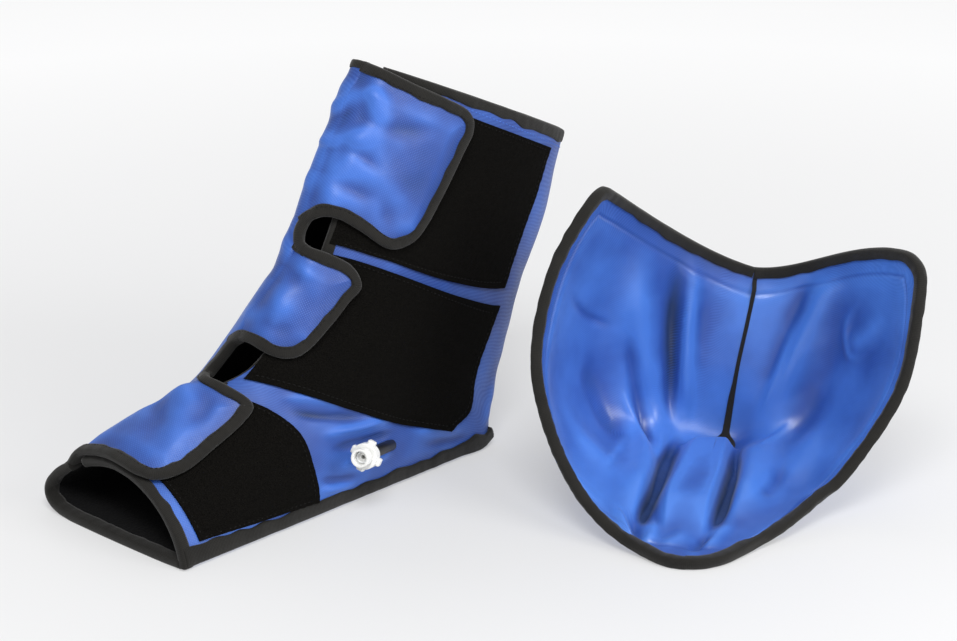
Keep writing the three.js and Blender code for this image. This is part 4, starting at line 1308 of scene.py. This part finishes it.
face = insert_sheet(
    "insert_face", 170, 240, insert_relief, lowered(insert_relief, CLOTH_DEPTH), FILM,
    ["insert_left_face", "insert_right_face"],
)
insert_sheet(
    "insert_gel", 80, 110, gel_height, lowered(insert_back_height, -0.1), GEL,
    ["insert_left_core", "insert_right_core"],
)
back = insert_sheet(
    "insert_back", 110, 150, insert_back_height, lowered(insert_back_height, CLOTH_DEPTH), FILM,
    ["insert_left_back", "insert_right_back"],
)


for side, (patch, sign) in SIDES.items():
    name, outer, inner = f"insert_{side}_tape", level(0.2), level(-INSERT_STACK + 1.3)
    rim = tape(name, patch, INSET[side], outer, inner, INSERT_BINDING, 420, 90 + sign)
    belongs(rim, [f"insert_{side}_binding"], "insert")


def seam_tape_place(u, v):
    along = mix(2.7, 4.93, v)
    # At its foot the black tape spreads into a wide dark triangle: painted shade, standing in for the
    # shadowed gap where the seam meets the tongue.
    flare = 1.5 + 1.2 * (1 - smooth(along, 3.0, 4.0)) + 6.5 * (1 - smooth(along, 2.86, 3.16))
    reach = flare / np.linalg.norm(RIGHT.slopes(0.02 + 0 * u, along)[0], axis=-1)
    return mix(-reach, reach, u) + 0.015, along


def seam_tape_height(across, along, bare, rim):
    cloth = insert_relief(across, along, bare, 100 * (1 - smooth(along, 4.5, 4.93)))
    return cloth + 0.9


back_seam = laid_sheet("insert_back_tape", SPINE, seam_tape_place, seam_tape_height, 1.6, (10, 160), [TAPE])
belongs(back_seam, ["insert_seam_tape"], "insert")


# ---------------------------------------------------------------- floor, light and camera

def glowing_floor_look():
    material, tree, shader = new_look("studio_floor")
    place = place_of(tree)
    drift = noise(tree, place, 1.2, 2.0)
    # Painted light: the floor glows though it is no lamp, the more the further from its middle, which also
    # pales the shadows cast on it.
    glow_distance = node(tree, "ShaderNodeVectorMath", {0: place}, operation="LENGTH").outputs["Value"]
    set_inputs(shader, {
        "Base Color": ramp(tree, drift, [(0.3, (0.36, 0.362, 0.368)), (0.7, (0.375, 0.377, 0.383))]),
        "Roughness": 0.6,
        "Specular IOR Level": 0.2,
        "Emission Color": (1, 1, 1, 1),
        "Emission Strength": map_range(tree, glow_distance, 0.1, 1.3, 0.38, 0.68),
    })
    return material


floor_mesh = bpy.data.meshes.new("studio_floor")
corners = [(FLOOR_REACH * x, FLOOR_REACH * y, 0) for x, y in ((-1, -1), (1, -1), (1, 1), (-1, 1))]
floor_mesh.from_pydata(corners, [], [(0, 1, 2, 3)])
floor_mesh.materials.append(glowing_floor_look())
new_object("studio_floor", floor_mesh)

world = bpy.data.worlds.new("studio")
bpy.context.scene.world = world
world.use_nodes = True
set_inputs(world.node_tree.nodes["Background"], {"Color": (1, 1, 1, 1), "Strength": 0.42})


def area_light(name, place, aim, size, power):
    data = bpy.data.lights.new(name, "AREA")
    data.shape = "RECTANGLE"
    data.size, data.size_y = size
    data.energy = power
    light = new_object(name, data)
    light.location = place
    light.rotation_euler = (Vector(aim) - Vector(place)).to_track_quat("-Z", "Y").to_euler()


def seen_from_camera(right, away, up):
    """A place given by how far right, away and up it lies from the middle of the view, in metres."""
    cos, sin = math.cos(CAMERA_AZIMUTH), math.sin(CAMERA_AZIMUTH)
    return (
        CAMERA_TARGET.x + right * cos - away * sin,
        CAMERA_TARGET.y + right * sin + away * cos,
        up,
    )


middle = (CAMERA_TARGET.x - 0.1, CAMERA_TARGET.y - 0.1, 0.1)
area_light("key", seen_from_camera(0.0, -1.4, 1.6), middle, (0.8, 0.7), 26)
area_light("fill", seen_from_camera(1.4, -1.2, 0.9), middle, (0.9, 1.0), 18)
area_light("top", seen_from_camera(-0.6, 1.2, 2.0), middle, (1.8, 1.1), 6)

camera_data = bpy.data.cameras.new("camera")
camera_data.lens = 85
camera_data.sensor_width = 36
camera = new_object("camera", camera_data)
camera.location = seen_from_camera(
    0, -CAMERA_DISTANCE * math.cos(CAMERA_ELEVATION), CAMERA_DISTANCE * math.sin(CAMERA_ELEVATION)
)
camera.rotation_euler = (CAMERA_TARGET - camera.location).to_track_quat("-Z", "Y").to_euler()
bpy.context.scene.camera = camera
bpy.context.scene.view_settings.view_transform = "Standard"
